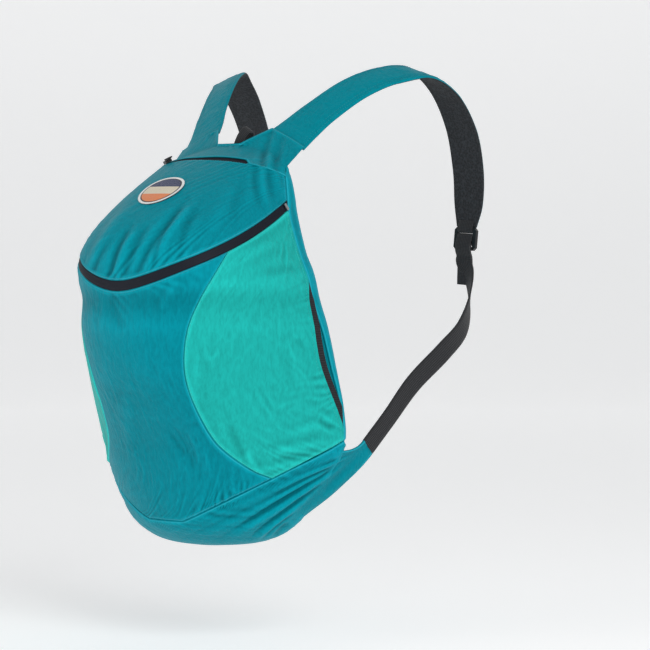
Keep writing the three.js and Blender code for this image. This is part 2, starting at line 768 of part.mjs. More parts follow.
// The yoke between the top zip and the neck, with the roots of both straps
function yokeNet() {
  const neckShare = 0.18;
  const strapShare = 0.46;
  const start = strapFrame(0);
  const inner = start.centre.clone().addScaledVector(start.across, -start.half);
  const outer = start.centre.clone().addScaledVector(start.across, start.half);
  const neckY = (sectionAt(topLevel).front + sectionAt(topLevel).rear) / 2;
  const neckEdge = new THREE.Vector3(neckWidth / 2, neckY, bagHeight);
  const hem = new THREE.Vector3(0, 0, neckHem);
  const mirror = (p, reach) => (reach < 0 ? new THREE.Vector3(-p.x, p.y, p.z) : p);
  const ridge = (reach) => {
    const f = Math.abs(reach);
    if (f <= neckShare) {
      return mirror(new THREE.Vector3((neckEdge.x * f) / neckShare, neckY, bagHeight), reach);
    }
    const rise = ((f - neckShare) / (1 - neckShare)) ** 1.1;
    const place = seamPlace(1, bagHeight - (bagHeight - armpitHeight) * rise);
    const point = bodyPoint(place.share, place.level);
    point.x = Math.max(point.x, neckEdge.x);
    return mirror(point, reach);
  };
  const crown = (reach) => {
    const f = Math.abs(reach);
    if (f <= neckShare) {
      return ridge(reach).add(hem);
    }
    if (f <= strapShare) {
      const g = (f - neckShare) / (strapShare - neckShare);
      return mirror(neckEdge.clone().add(hem).lerp(inner, g), reach);
    }
    return mirror(inner.clone().lerp(outer, (f - strapShare) / (1 - strapShare)), reach);
  };
  const rows = [];
  for (const f of between(0, 1, yokeRows)) {
    rows.push(topReaches.map((reach) => {
      const zip = topZipEdge(reach, 1);
      const point = bodyPoint(zip.share, zip.level);
      return point.lerp(ridge(reach), f);
    }));
  }
  for (const f of between(0, 1, rootRows).slice(1)) {
    rows.push(topReaches.map((reach) => ridge(reach).lerp(crown(reach), f)));
  }
  return rows;
}

function yoke() {
  const points = yokeNet();
  return sheet({ points, normals: netNormals(points) }, cloth);
}

// The wing's tip, where the lower webbing is sewn in
function wingTip() {
  const centre = new THREE.Vector3(backHalfWidth - 1, wingForward, wingHeight);
  const next = routePoint(webbingRoute, 0);
  const along = next.sub(centre).normalize();
  const face = new THREE.Vector3(1, 0, 0);
  const out = face.addScaledVector(along, -face.dot(along)).normalize();
  return { centre, along, across: along.clone().cross(out).normalize() };
}

// The right wing, a doubled ear of the bottom panel pulled towards the webbing
function wing() {
  const tip = wingTip();
  const rows = 5;
  const columns = 5;
  const rootAt = (f) => {
    const level = levelAt(wingRootTop + (wingRootBottom - wingRootTop) * f);
    const share = shareFromBack(sectionAt(level), wingRootInset);
    return bodyPoint(share, level).addScaledVector(bodyNormal(share, level), -cloth);
  };
  const tipAt = (f) => tip.centre.clone().addScaledVector(tip.across, webbingWidth * (0.5 - f));
  const points = steps(rows).map((v) => steps(columns).map((u) => {
    const sag = wingSag * v * Math.sin(Math.PI * u);
    const inwards = new THREE.Vector3(-0.6, -0.2, 0.75);
    return rootAt(v).lerp(tipAt(v), u).addScaledVector(inwards, sag);
  }));
  const normals = netNormals(points);
  const half = wingThickness / 2;
  return solidBetween(raised(points, normals, half), raised(points, normals, -half));
}

function bottomPanel() {
  let panel = toManifold(bottomDish());
  for (const { way } of sides) {
    panel = panel.add(toManifold(onSide(wing(), way)));
  }
  return fromManifold(panel);
}

// A flat strip along a run of points, each with the direction of its width
function strip(run, width, thickness) {
  const points = run.map(({ point, across }) => [-0.5, 0, 0.5].map((side) => (
    point.clone().addScaledVector(across, side * width))));
  const normals = netNormals(points);
  const half = thickness / 2;
  return solidBetween(raised(points, normals, half), raised(points, normals, -half));
}

// The plain ladder buckle under the strap's end: a frame with two slots
function bucklePlace() {
  const end = strapFrame(strapRoute.length - 1);
  const behind = end.along.clone().cross(end.across).normalize();
  const middle = end.centre.clone()
    .addScaledVector(end.along, seamGap + buckleLength / 2)
    .addScaledVector(behind, strapThickness / 2);
  return { middle, along: end.along, across: end.across, behind };
}

function buckle() {
  const outline = new THREE.Shape();
  const halfWidth = buckleWidth / 2;
  const halfLength = buckleLength / 2;
  const bevel = 3;
  outline.moveTo(-halfWidth + bevel, -halfLength);
  outline.lineTo(halfWidth - bevel, -halfLength);
  outline.lineTo(halfWidth, -halfLength + bevel);
  outline.lineTo(halfWidth, halfLength - bevel);
  outline.lineTo(halfWidth - bevel, halfLength);
  outline.lineTo(-halfWidth + bevel, halfLength);
  outline.lineTo(-halfWidth, halfLength - bevel);
  outline.lineTo(-halfWidth, -halfLength + bevel);
  const slotLength = (buckleLength - 3 * buckleBar) / 2;
  for (const way of [-1, 1]) {
    const middle = way * (buckleBar + slotLength) / 2;
    const slot = new THREE.Path();
    slot.moveTo(-halfWidth + buckleBar, middle - slotLength / 2);
    slot.lineTo(-halfWidth + buckleBar, middle + slotLength / 2);
    slot.lineTo(halfWidth - buckleBar, middle + slotLength / 2);
    slot.lineTo(halfWidth - buckleBar, middle - slotLength / 2);
    outline.holes.push(slot);
  }
  const geometry = new THREE.ExtrudeGeometry(outline, { depth: buckleThickness, bevelEnabled: false });
  geometry.translate(0, 0, -buckleThickness / 2);
  const { middle, along, across, behind } = bucklePlace();
  const turn = new THREE.Matrix4().makeBasis(across, along.clone().negate(), behind);
  geometry.applyMatrix4(turn);
  geometry.translate(middle.x, middle.y, middle.z);
  return geometry;
}

// The right lower webbing, from the wing's tip to the buckle
function lowerWebbing() {
  const tip = wingTip();
  const { middle, along } = bucklePlace();
  const straightEnd = 8;
  const foot = middle.clone().addScaledVector(along, buckleLength / 2 + seamGap);
  const knots = [
    tip.centre.clone().addScaledVector(tip.along, seamGap + wingThickness / 4),
    ...webbingRoute.map((unused, i) => routePoint(webbingRoute, i)),
    foot.clone().addScaledVector(along, straightEnd),
    foot,
  ];
  const flat = -Math.PI / 2;
  const faces = [webbingRoute[0].face, ...webbingRoute.map((row) => row.face), flat, flat];
  const curve = new THREE.CatmullRomCurve3(knots, false, 'centripetal');
  const count = 22;
  const run = steps(count).map((f) => {
    const along = curve.getTangent(f);
    const place = f * (faces.length - 1);
    const turn = readTable(faces.map((face) => ({ face })), place, 'face');
    const out = new THREE.Vector3(Math.cos(turn), -Math.sin(turn), 0);
    out.addScaledVector(along, -out.dot(along)).normalize();
    return { point: curve.getPoint(f), across: along.clone().cross(out).normalize() };
  });
  return strip(run, webbingWidth, webbingThickness);
}

// The small hang loop sewn behind the neck, leaning to the right
function grabLoop() {
  const lean = new THREE.Vector3(0.55, 0.1, 0.83).normalize();
  const across = new THREE.Vector3(0.83, 0, -0.55).normalize();
  const open = lean.clone().cross(across).normalize();
  const base = new THREE.Vector3(0, loopThickness + 2 * seamGap, bagHeight - loopDrop);
  const knots = [
    [-0.35, 0], [0.0, 0], [0.35, 0.36], [0.7, 0.5], [0.94, 0.34], [1.0, 0],
    [0.94, -0.34], [0.7, -0.5], [0.35, -0.36], [0.0, 0], [-0.35, 0],
  ];
  const middle = (knots.length - 1) / 2;
  const points = knots.map(([up, side], i) => {
    const apart = Math.sign(middle - i) * (loopThickness + seamGap) / 2;
    const foot = up <= 0 ? new THREE.Vector3(0, 0, 1) : lean;
    return base.clone()
      .addScaledVector(foot, up * loopLength)
      .addScaledVector(open, side * loopOpening + (i === middle ? 0 : apart));
  });
  const curve = new THREE.CatmullRomCurve3(points, false, 'centripetal');
  const run = steps(26).map((f) => ({ point: curve.getPoint(f), across }));
  return strip(run, loopWebbingWidth, loopThickness);
}

// The round woven patch, laid on the top panel
function patch() {
  let level = topLevel;
  while (sectionAt(level).front > -patchForward) {
    level -= 0.01;
  }
  const slope = bodyPoint(0, level + 0.1).distanceTo(bodyPoint(0, level - 0.1)) / 0.2;
  const rim = 24;
  const rings = [0, 0.5, 1];
  const places = rings.map((ring) => steps(rim).map((f) => {
    const turn = 2 * Math.PI * f;
    const reach = (ring * patchDiameter) / 2;
    const up = level + (reach * Math.sin(turn)) / slope;
    return { share: shareOfLength(reach * Math.cos(turn), up), level: up };
  }));
  const net = bodyNet(places, () => seamGap + patchThickness);
  return solidBetween(net.points, raised(net.points, net.normals, -patchThickness), true);
}

// A frame on a zip: along its run, across its tape and out of the cloth
function zipFrame(reach, edge) {
  const low = edge(reach, -1);
  const high = edge(reach, 1);
  const at = (place) => bodyPoint(place.share, place.level);
  const share = (low.share + high.share) / 2;
  const level = (low.level + high.level) / 2;
  const out = bodyNormal(share, level);
  const next = edge(reach + 0.01, 0);
  const before = edge(reach - 0.01, 0);
  const along = at(next).sub(at(before)).normalize();
  along.addScaledVector(out, -along.dot(out)).normalize();
  return { point: bodyPoint(share, level), along, across: out.clone().cross(along), out };
}

// A plate that lies on a zip, its outline given as pairs of along and across
function zipPlate(frame, outline, from, to) {
  const shape = new THREE.Shape(outline.map(([x, y]) => new THREE.Vector2(x, y)));
  const geometry = new THREE.ExtrudeGeometry(shape, { depth: to - from, bevelEnabled: false });
  geometry.translate(0, 0, from);
  geometry.applyMatrix4(new THREE.Matrix4().makeBasis(frame.along, frame.across, frame.out));
  geometry.translate(frame.point.x, frame.point.y, frame.point.z);
  return geometry;
}

function zipSlider(frame) {
  const l = sliderLength / 2;
  const w = sliderWidth / 2;
  const nose = sliderWidth * 0.28;
  const outline = [[-l, -nose], [l * 0.5, -w], [l, -w], [l, w], [l * 0.5, w], [-l, nose]];
  const seat = tapeCrown + seamGap;
  return zipPlate(frame, outline, seat, seat + sliderHeight);
}

function zipPull(frame, way) {
  const w = pullWidth / 2;
  const l = pullLength;
  const outline = [[0, -w * 0.7], [way * l * 0.8, -w], [way * l, -w * 0.5], [way * l, w * 0.5],
    [way * l * 0.8, w], [0, w * 0.7]];
  const seat = tapeCrown + 2 * seamGap + sliderHeight;
  return zipPlate(frame, outline, seat, seat + pullThickness);
}

function zipStop(frame) {
  const l = zipStopLength / 2;
  const w = zipStopWidth / 2;
  const seat = tapeCrown + seamGap;
  return zipPlate(frame, [[-l, -w], [l, -w], [l, w], [-l, w]], seat, seat + zipStopThickness);
}

addPiece('front_panel', frontPanel(), finishes.nylonTeal);
addPiece('top_panel', topPanel(), finishes.nylonTeal);
addPiece('back_panel', backPanel(), finishes.nylonTeal);
addPiece('bottom_panel', bottomPanel(), finishes.nylonTeal);
addPiece('yoke', yoke(), finishes.nylonTeal);
addPiece('front_zip', zipTape(zipReaches, frontZipEdge), finishes.zipNavy);
addPiece('top_zip', zipTape(topReaches, topZipEdge), finishes.zipNavy);

for (const { name, way } of sides) {
  addPiece(`side_pocket_${name}`, onSide(sidePocket(), way), finishes.nylonMint);
  addPiece(`side_gusset_${name}`, onSide(sideGusset(), way), finishes.nylonTeal);
  addPiece(`pocket_elastic_${name}`, onSide(pocketElastic(), way), finishes.webbingBlack);
  addPiece(`shoulder_strap_${name}`, onSide(shoulderStrap(), way), finishes.nylonTeal);
  addPiece(`strap_buckle_${name}`, onSide(buckle(), way), finishes.plasticBlack);
  addPiece(`lower_webbing_${name}`, onSide(lowerWebbing(), way), finishes.webbingBlack);
}

addPiece('grab_loop', grabLoop(), finishes.webbingBlack);
addPiece('round_patch', patch(), finishes.patchCloth);

const topSliderFrame = zipFrame(-0.62, topZipEdge);
const frontSliderFrame = zipFrame(-0.93, frontZipEdge);
addPiece('top_zip_slider', zipSlider(topSliderFrame), finishes.plasticBlack);
addPiece('top_zip_pull', zipPull(topSliderFrame, 1), finishes.webbingBlack);
addPiece('front_zip_slider', zipSlider(frontSliderFrame), finishes.plasticBlack);
addPiece('front_zip_pull', zipPull(frontSliderFrame, 1), finishes.webbingBlack);
addPiece('front_zip_stop', zipStop(zipFrame(0.975, frontZipEdge)), finishes.metalGrey);

// The origin: midway between the undersides of the strap crests
const crestRow = 5;
const crest = strapFrame(crestRow).centre;
pack.position.set(0, -crest.y, strapThickness - crest.z);

export default pack;
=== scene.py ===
import math

import bpy
import numpy as np
from mathutils import Matrix, Vector


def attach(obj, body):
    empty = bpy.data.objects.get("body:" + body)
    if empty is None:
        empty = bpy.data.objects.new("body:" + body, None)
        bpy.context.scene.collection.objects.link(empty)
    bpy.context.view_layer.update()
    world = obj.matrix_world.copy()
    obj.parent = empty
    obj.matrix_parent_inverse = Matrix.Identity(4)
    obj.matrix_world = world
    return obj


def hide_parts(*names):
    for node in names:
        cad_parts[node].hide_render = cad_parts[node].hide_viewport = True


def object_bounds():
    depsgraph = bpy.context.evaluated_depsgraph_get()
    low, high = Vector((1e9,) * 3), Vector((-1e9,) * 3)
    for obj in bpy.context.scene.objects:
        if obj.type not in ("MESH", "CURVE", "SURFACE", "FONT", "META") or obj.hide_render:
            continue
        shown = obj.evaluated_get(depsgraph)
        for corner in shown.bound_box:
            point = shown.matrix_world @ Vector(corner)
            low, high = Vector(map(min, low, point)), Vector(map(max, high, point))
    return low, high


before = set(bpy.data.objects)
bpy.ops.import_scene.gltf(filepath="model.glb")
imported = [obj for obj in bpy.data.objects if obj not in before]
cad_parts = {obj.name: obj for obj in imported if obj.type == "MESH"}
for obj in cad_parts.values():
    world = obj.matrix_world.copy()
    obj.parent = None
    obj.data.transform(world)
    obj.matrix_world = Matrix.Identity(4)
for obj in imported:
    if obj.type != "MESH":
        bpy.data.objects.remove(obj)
cad_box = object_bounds()

# Studio: a pale floor that curves up into a pale backdrop, soft light from large panels, and a
# long lens at the photograph's angle, 40 degrees round to the right and almost level.
bag_origin = Vector((0.0, 0.13992, 0.4736))
camera_turn = math.radians(40)
camera_rise = math.radians(2)
camera_distance = 2.8
metres_per_pixel = 0.00102
aim_pixel = (235.0, 320.5)
image_centre = 325.0
aim = Vector((0, 0, 0.224)) - bag_origin

to_camera = Vector((
    math.sin(camera_turn) * math.cos(camera_rise),
    -math.cos(camera_turn) * math.cos(camera_rise),
    math.sin(camera_rise),
))
to_right = Vector((math.cos(camera_turn), math.sin(camera_turn), 0))
to_top = to_camera.cross(to_right)

camera_data = bpy.data.cameras.new("camera")
camera_data.sensor_width = 36
camera_data.lens = 36 * camera_distance / (2 * image_centre * metres_per_pixel)
camera = bpy.data.objects.new("camera", camera_data)
bpy.context.scene.collection.objects.link(camera)
stand = aim + to_camera * camera_distance
stand += to_right * (image_centre - aim_pixel[0]) * metres_per_pixel
stand -= to_top * (image_centre - aim_pixel[1]) * metres_per_pixel
turned_to_bag = Matrix((to_right, to_top, to_camera)).transposed().to_4x4()
camera.matrix_world = Matrix.Translation(stand) @ turned_to_bag
bpy.context.scene.camera = camera
bpy.context.scene.view_settings.view_transform = "Standard"

floor_height = cad_box[0][2] - 0.10


def mesh_object(name, points, faces):
    mesh = bpy.data.meshes.new(name)
    mesh.from_pydata([tuple(p) for p in points], [], faces)
    mesh.update()
    piece = bpy.data.objects.new(name, mesh)
    bpy.context.scene.collection.objects.link(piece)
    return piece


def backdrop():
    profile = [(-7.0, 0.0), (3.4, 0.0)]
    for step in range(1, 13):
        turn = math.radians(90 * step / 12)
        profile.append((3.4 + math.sin(turn), 1.0 - math.cos(turn)))
    profile.append((4.4, 6.0))
    swing = Matrix.Rotation(camera_turn, 3, "Z")
    points = []
    for away, up in profile:
        for side in (-8.0, 8.0):
            points.append(swing @ Vector((side, away, 0)) + Vector((0, 0, floor_height + up)))
    faces = [(2 * i, 2 * i + 1, 2 * i + 3, 2 * i + 2) for i in range(len(profile) - 1)]
    return mesh_object("studio_floor", points, faces)


floor = backdrop()
pale = bpy.data.materials.new("pale_floor")
pale.use_nodes = True
pale_finish = {"Base Color": (0.88, 0.88, 0.88, 1), "Roughness": 0.9,
               "Emission Color": (1, 1, 1, 1), "Emission Strength": 0.30}
for socket, value in pale_finish.items():
    pale.node_tree.nodes["Principled BSDF"].inputs[socket].default_value = value
floor.data.materials.append(pale)
floor.data.shade_smooth()


def soft_light(name, turn, rise, distance, size, watts):
    light = bpy.data.lights.new(name, "AREA")
    light.size = size
    light.energy = watts
    lamp = bpy.data.objects.new(name, light)
    bpy.context.scene.collection.objects.link(lamp)
    a, e = math.radians(turn), math.radians(rise)
    way = Vector((math.sin(a) * math.cos(e), -math.cos(a) * math.cos(e), math.sin(e)))
    turned = way.to_track_quat("Z", "Y").to_matrix().to_4x4()
    lamp.matrix_world = Matrix.Translation(aim + way * distance) @ turned


soft_light("key_light", 62, 30, 2.3, 1.0, 22)
soft_light("left_fill", -30, 8, 2.6, 1.6, 12)
soft_light("top_light", 20, 80, 2.4, 1.8, 2)

world = bpy.data.worlds.new("studio_air")
world.use_nodes = True
world.node_tree.nodes["Background"].inputs["Color"].default_value = (0.96, 0.98, 1.0, 1)
world.node_tree.nodes["Background"].inputs["Strength"].default_value = 0.40
bpy.context.scene.world = world

# Front panel: one piece of thin teal nylon between the side pockets, sewn to the bottom panel and
# to the front zip. Its form is that of the filled bag, read from sections from the base up.
bag_height = 401.0
back_half_width = 155.0
bag_depth = 176.0
side_strip_top = 27.0
side_strip_base = 14.0
front_zip_height = 262.0
front_zip_rise = 79.0
front_zip_width = 10.0
bottom_seam_height = 28.0
bottom_seam_rise = 81.0


def table(columns, rows):
    return {name: np.array([row[i] for row in rows]) for i, name in enumerate(columns.split())}


body = table("height width front widest rear blunt full square", [
    (0.0, 0.16, 0.33, 0.25, 0.17, 2.0, 2.0, 2.0),
    (0.0075, 0.34, 0.42, 0.21, 0.09, 2.0, 2.0, 2.4),
    (0.025, 0.50, 0.50, 0.16, 0.04, 1.9, 1.9, 3.0),
    (0.06, 0.63, 0.59, 0.12, 0.015, 1.95, 1.85, 3.4),
    (0.122, 0.76, 0.645, 0.09, 0.0, 2.0, 1.75, 3.5),
    (0.192, 0.90, 0.68, 0.08, 0.0, 2.15, 1.4, 3.5),
    (0.262, 0.995, 0.715, 0.08, 0.0, 2.3, 1.15, 3.5),
    (0.354, 0.99, 0.815, 0.09, 0.0, 2.35, 1.1, 3.5),
    (0.454, 0.935, 0.93, 0.11, 0.0, 2.35, 1.15, 3.5),
    (0.546, 0.885, 0.985, 0.13, 0.0, 2.35, 1.32, 3.5),
    (0.616, 0.815, 0.975, 0.135, 0.0, 2.35, 1.65, 3.5),
    (0.666, 0.785, 0.985, 0.14, 0.0, 2.4, 2.1, 3.5),
    (0.728, 0.71, 0.97, 0.14, 0.0, 2.6, 2.6, 3.5),
    (0.798, 0.64, 0.865, 0.125, 0.0, 2.6, 2.6, 3.5),
    (0.868, 0.59, 0.68, 0.10, 0.0, 2.2, 2.2, 3.5),
    (0.925, 0.53, 0.47, 0.07, 0.0, 2.0, 2.0, 3.4),
    (0.958, 0.465, 0.33, 0.045, 0.0, 2.0, 2.0, 3.0),
    (0.982, 0.31, 0.21, 0.03, 0.0, 2.0, 2.0, 2.6),
    (1.0, 0.105, 0.07, 0.035, 0.03, 2.0, 2.0, 2.2),
])
pocket_edge = table("rise reach", [
    (0.0, 0.67), (0.06, 0.515), (0.155, 0.378), (0.28, 0.32), (0.42, 0.303),
    (0.56, 0.323), (0.71, 0.373), (0.85, 0.455), (1.0, 0.565),
])
pocket_tip = 0.67
pocket_top = 0.565
top_level = len(body["height"]) - 1
ring_angles = np.linspace(0, math.pi, 141)


def read_table(values, place):
    last = len(values) - 1
    place = np.asarray(place, float)
    row = np.clip(np.floor(place).astype(int), 0, last - 1)
    f = place - row
    longer = np.concatenate([[2 * values[0] - values[1]], values, [2 * values[-1] - values[-2]]])
    before, here, there, after = (longer[row + i] for i in range(4))
    slope_in = (there - before) / 2
    slope_out = (after - here) / 2
    rise = there - here
    bend = 3 * rise - 2 * slope_in - slope_out
    return here + f * (slope_in + f * (bend + f * (slope_in + slope_out - 2 * rise)))


def rings(level):
    """Outlines of the bag at some levels, from the centre front to the centre back"""
    read = {name: read_table(values, level)[:, None] for name, values in body.items()}
    along = np.cos(ring_angles)[None, :]
    ahead = along > 0
    end = np.where(ahead, -read["front"], -read["rear"]) * bag_depth
    widest = -read["widest"] * bag_depth
    sides = np.where(ahead, read["blunt"], read["square"])
    ends = np.where(ahead, read["full"], read["square"])
    x = read["width"] * back_half_width * np.abs(np.sin(ring_angles)[None, :]) ** (2 / sides)
    y = widest + (end - widest) * np.abs(along) ** (2 / ends)
    z = np.broadcast_to(read["height"] * bag_height, x.shape)
    points = np.stack([x, y, z], -1)
    gaps = np.linalg.norm(np.diff(points, axis=1), axis=2)
    return points, np.concatenate([np.zeros((len(x), 1)), np.cumsum(gaps, 1)], 1)


def body_points(share, level):
    """Points of the bag's form; share runs from 0 at the centre front to 1 at the centre back"""
    share, level = np.broadcast_arrays(np.asarray(share, float), np.asarray(level, float))
    flat_share, flat_level = share.ravel(), level.ravel()
    turned = np.where(flat_share > 1, flat_share - 2, flat_share)
    turned = np.where(turned < -1, turned + 2, turned)
    found = np.empty((len(turned), 3))
    for start in range(0, len(turned), 4000):
        part = slice(start, start + 4000)
        points, lengths = rings(flat_level[part])
        wanted = np.abs(turned[part]) * lengths[:, -1]
        i = np.clip((lengths < wanted[:, None]).sum(1), 1, len(ring_angles) - 1)
        n = np.arange(len(i))
        f = (wanted - lengths[n, i - 1]) / (lengths[n, i] - lengths[n, i - 1])
        found[part] = points[n, i - 1] + f[:, None] * (points[n, i] - points[n, i - 1])
        found[part, 0] *= np.where(turned[part] < 0, -1, 1)
    return found.reshape(share.shape + (3,))


def smooth(f):
    g = np.clip(f, 0, 1)
    return g * g * (3 - 2 * g)


all_levels = np.linspace(0, top_level, 1201)
all_heights = read_table(body["height"], all_levels) * bag_height
all_rings, all_lengths = rings(all_levels)


def side_shares():
    seam_top = bottom_seam_height + bottom_seam_rise
    rear = all_rings[:, -1, 1]
    rise = smooth((all_heights - seam_top) / (front_zip_height - seam_top))
    strip = side_strip_base + (side_strip_top - side_strip_base) * rise
    limit = rear - np.minimum(strip, (rear - all_rings[:, 0, 1]) / 5)
    i = np.clip((all_rings[:, :, 1] < limit[:, None]).sum(1), 1, len(ring_angles) - 1)
    n = np.arange(len(i))
    f = (limit - all_rings[n, i - 1, 1]) / (all_rings[n, i, 1] - all_rings[n, i - 1, 1])
    return (all_lengths[n, i - 1] + f * (all_lengths[n, i] - all_lengths[n, i - 1])) / all_lengths[:, -1]


all_side_shares = side_shares()


def seam_place(reach, height):
    level = np.interp(height, all_heights, all_levels)
    return np.stack([reach * np.interp(level, all_levels, all_side_shares), level], -1)


def height_at(level):
    return np.interp(level, all_levels, all_heights)


def half_girth(level):
    return np.interp(level, all_levels, all_lengths[:, -1])


def front_zip_edge(reach, side):
    roundness = 0.18
    vee = (np.hypot(reach, roundness) - roundness) / (math.hypot(1, roundness) - roundness)
    return seam_place(reach, front_zip_height + front_zip_rise * vee + side * front_zip_width / 2)


def bottom_seam_heights(reach):
    rise = np.maximum(np.abs(reach) - 0.15, 0) / 0.85
    return bottom_seam_height + bottom_seam_rise * rise ** 1.2


def pocket_front_edge(f):
    place = np.asarray(f) * (len(pocket_edge["rise"]) - 1)
    foot = float(bottom_seam_heights(pocket_tip))
    head = float(height_at(front_zip_edge(np.array([pocket_top]), -1)[0, 1]))
    rise = read_table(pocket_edge["rise"], place)
    return seam_place(read_table(pocket_edge["reach"], place), foot + (head - foot) * rise)


def crowded(count):
    """Shares from 0 to 1, closer together at both ends where the cloth turns into its seams"""
    near = np.array([0, 0.003, 0.007, 0.012, 0.019])
    return np.concatenate([near, np.linspace(0.028, 0.972, count), 1 - near[::-1]])


def fill_places(u, v, low, high, left, right):
    """Places inside four edges, at shares u across and v up"""
    u, v = u[None, :, None], v[:, None, None]
    sides = (1 - u) * left[:, None] + u * right[:, None]
    ends = (1 - v) * low[None] + v * high[None]
    corners = (1 - v) * ((1 - u) * low[0] + u * low[-1]) + v * ((1 - u) * high[0] + u * high[-1])
    return sides + ends - corners


def net_normals(points):
    out = np.cross(np.gradient(points, axis=1), np.gradient(points, axis=0))
    return out / np.maximum(np.linalg.norm(out, axis=2, keepdims=True), 1e-9)


def raise_net(points, relief):
    return points + net_normals(points) * relief[..., None]


def running(points, axis):
    """Millimetres run along a net, from its first edge"""
    gaps = np.linalg.norm(np.diff(points, axis=axis), axis=2)
    return np.concatenate([np.zeros_like(np.take(gaps, [0], axis)), np.cumsum(gaps, axis)], axis)


def crumple(across, up, size, seed):
    """A soft random field from -1 to 1 whose dents lie about one size apart"""
    values = np.random.default_rng(seed).uniform(-1, 1, (96, 96))
    x, y = across / size, up / size
    i, j = np.floor(x).astype(int), np.floor(y).astype(int)
    fx, fy = smooth(x - i), smooth(y - j)
    low = values[j % 96, i % 96] * (1 - fx) + values[j % 96, (i + 1) % 96] * fx
    high = values[(j + 1) % 96, i % 96] * (1 - fx) + values[(j + 1) % 96, (i + 1) % 96] * fx
    return low * (1 - fy) + high * fy


def crinkles(across, up, seed):
    """Fine creases of thin nylon, mostly upright, over broad soft dents, in millimetres"""
    bend = 5 * crumple(across, up, 26, seed + 5)
    patchy = 0.55 + 0.45 * crumple(across, up, 34, seed + 7)
    sharp = 1 - 2 * np.abs(crumple(across + bend, up * 0.42, 11, seed))
    finer = 1 - 2 * np.abs(crumple(across - bend, up * 0.5 + bend, 5.5, seed + 1))
    broad = crumple(across, up * 0.6, 48, seed + 2)
    return (0.30 * sharp + 0.22 * finer) * patchy + 0.6 * broad


def calm_crinkles(across, up, from_seam, seed):
    """A panel's crinkles, which fade out where it is sewn down"""
    fade = 7.0
    return crinkles(across, up, seed) * (1 - np.exp(-from_seam / fade))


def pucker(along, away, wave, depth, reach, seed):
    """Gathers that run out of a seam: a wave apart, depth high at it and gone beyond their reach"""
    wander = 1.5 * crumple(along, away * 0.5, 2.3 * wave, seed)
    strength = smooth(0.45 + 0.8 * crumple(along, away * 0.4, 2.7 * wave, seed + 1))
    gather = np.sin(2 * math.pi * (along / wave + wander))
    return depth * strength * gather * np.exp(-away / reach) * (1 - np.exp(-away / 1.5))


def seen(points):
    """How far right of the aim and above it points show at the photograph's angle, in millimetres"""
    away = points - 1000 * (np.array(aim) + np.array(bag_origin))
    return away @ np.array(to_right), away @ np.array(to_top)


fold_strength = 1.5


def folds(points, rows):
    """Soft folds seen from one place to another: two ends, height and half width, in millimetres"""
    right, up = seen(points)
    relief = np.zeros_like(right)
    facing = smooth((net_normals(points) @ np.array(to_camera) + 0.05) / 0.3)
    for x0, y0, x1, y1, height, width in rows:
        run = np.array([x1 - x0, y1 - y0])
        f = np.clip(((right - x0) * run[0] + (up - y0) * run[1]) / run.dot(run), 0, 1)
        bow = 0.06 * math.hypot(*run) * np.sin(math.pi * f)
        away = np.hypot(right - x0 - f * run[0] + bow, up - y0 - f * run[1])
        ends = np.sin(math.pi * np.clip(f, 0.03, 0.97)) ** 0.7
        relief += fold_strength * height * np.exp(-(away / width) ** 2) * ends
    return relief * facing


def hollows(points):
    """How deep each point lies below the cloth round it, in millimetres"""
    level = points
    for _ in range(6):
        for axis in (0, 1):
            ends = [(1, 1) if k == axis else (0, 0) for k in range(3)]
            longer = np.pad(level, ends, mode="reflect", reflect_type="odd")
            before, after = (np.take(longer, range(k, k + level.shape[axis]), axis) for k in (0, 2))
            level = (before + 2 * level + after) / 4
    return ((level - points) * net_normals(points)).sum(-1)


def seam_tuck(points, edges="lhab", depth=1.1, width=1.5):
    """Turns a panel's edges down into their seams, and gives how far each point is from them: l and
    h are its low and high edge, a and b its first and last sides"""
    up, across = running(points, 0), running(points, 1)
    away = {"l": up, "h": up[-1:] - up, "a": across, "b": across[:, -1:] - across}
    nearest = np.min([away[edge] for edge in edges], 0)
    lip = 0.30 * np.exp(-((nearest - 2.2 * width) / width) ** 2)
    return lip - depth * np.exp(-(nearest / width) ** 2), nearest


def new_material(name, roughness):
    material = bpy.data.materials.new(name)
    material.use_nodes = True
    nodes, links = material.node_tree.nodes, material.node_tree.links
    shader = nodes["Principled BSDF"]
    shader.inputs["Roughness"].default_value = roughness

    def add(kind, settings=None, **inputs):
        node = nodes.new(kind)
        for key, value in (settings or {}).items():
            setattr(node, key, value)
        for key, value in inputs.items():
            numbered = key[0] == "i" and key[1:].isdigit()
            socket = node.inputs[int(key[1:])] if numbered else node.inputs[key.replace("_", " ")]
            if isinstance(value, bpy.types.NodeSocket):
                links.new(value, socket)
            else:
                socket.default_value = value
        return node

    def mix(factor, a, b, blend="MIX"):
        node = add("ShaderNodeMix", {"data_type": "RGBA", "blend_type": blend})
        for socket, value in ((node.inputs["Factor"], factor), (node.inputs["A"], a), (node.inputs["B"], b)):
            if isinstance(value, bpy.types.NodeSocket):
                links.new(value, socket)
            elif isinstance(value, tuple):
                socket.default_value = (*value, 1)
            else:
                socket.default_value = value
        return node.outputs["Result"]

    def finish(colour, normal):
        links.new(colour, shader.inputs["Base Color"])
        links.new(normal, shader.inputs["Normal"])
        return material

    return shader, add, mix, finish


def srgb(red, green, blue):
    parts = np.array([red, green, blue]) / 255
    linear = np.where(parts <= 0.04045, parts / 12.92, ((parts + 0.055) / 1.055) ** 2.4)
    return tuple(float(c) for c in linear)


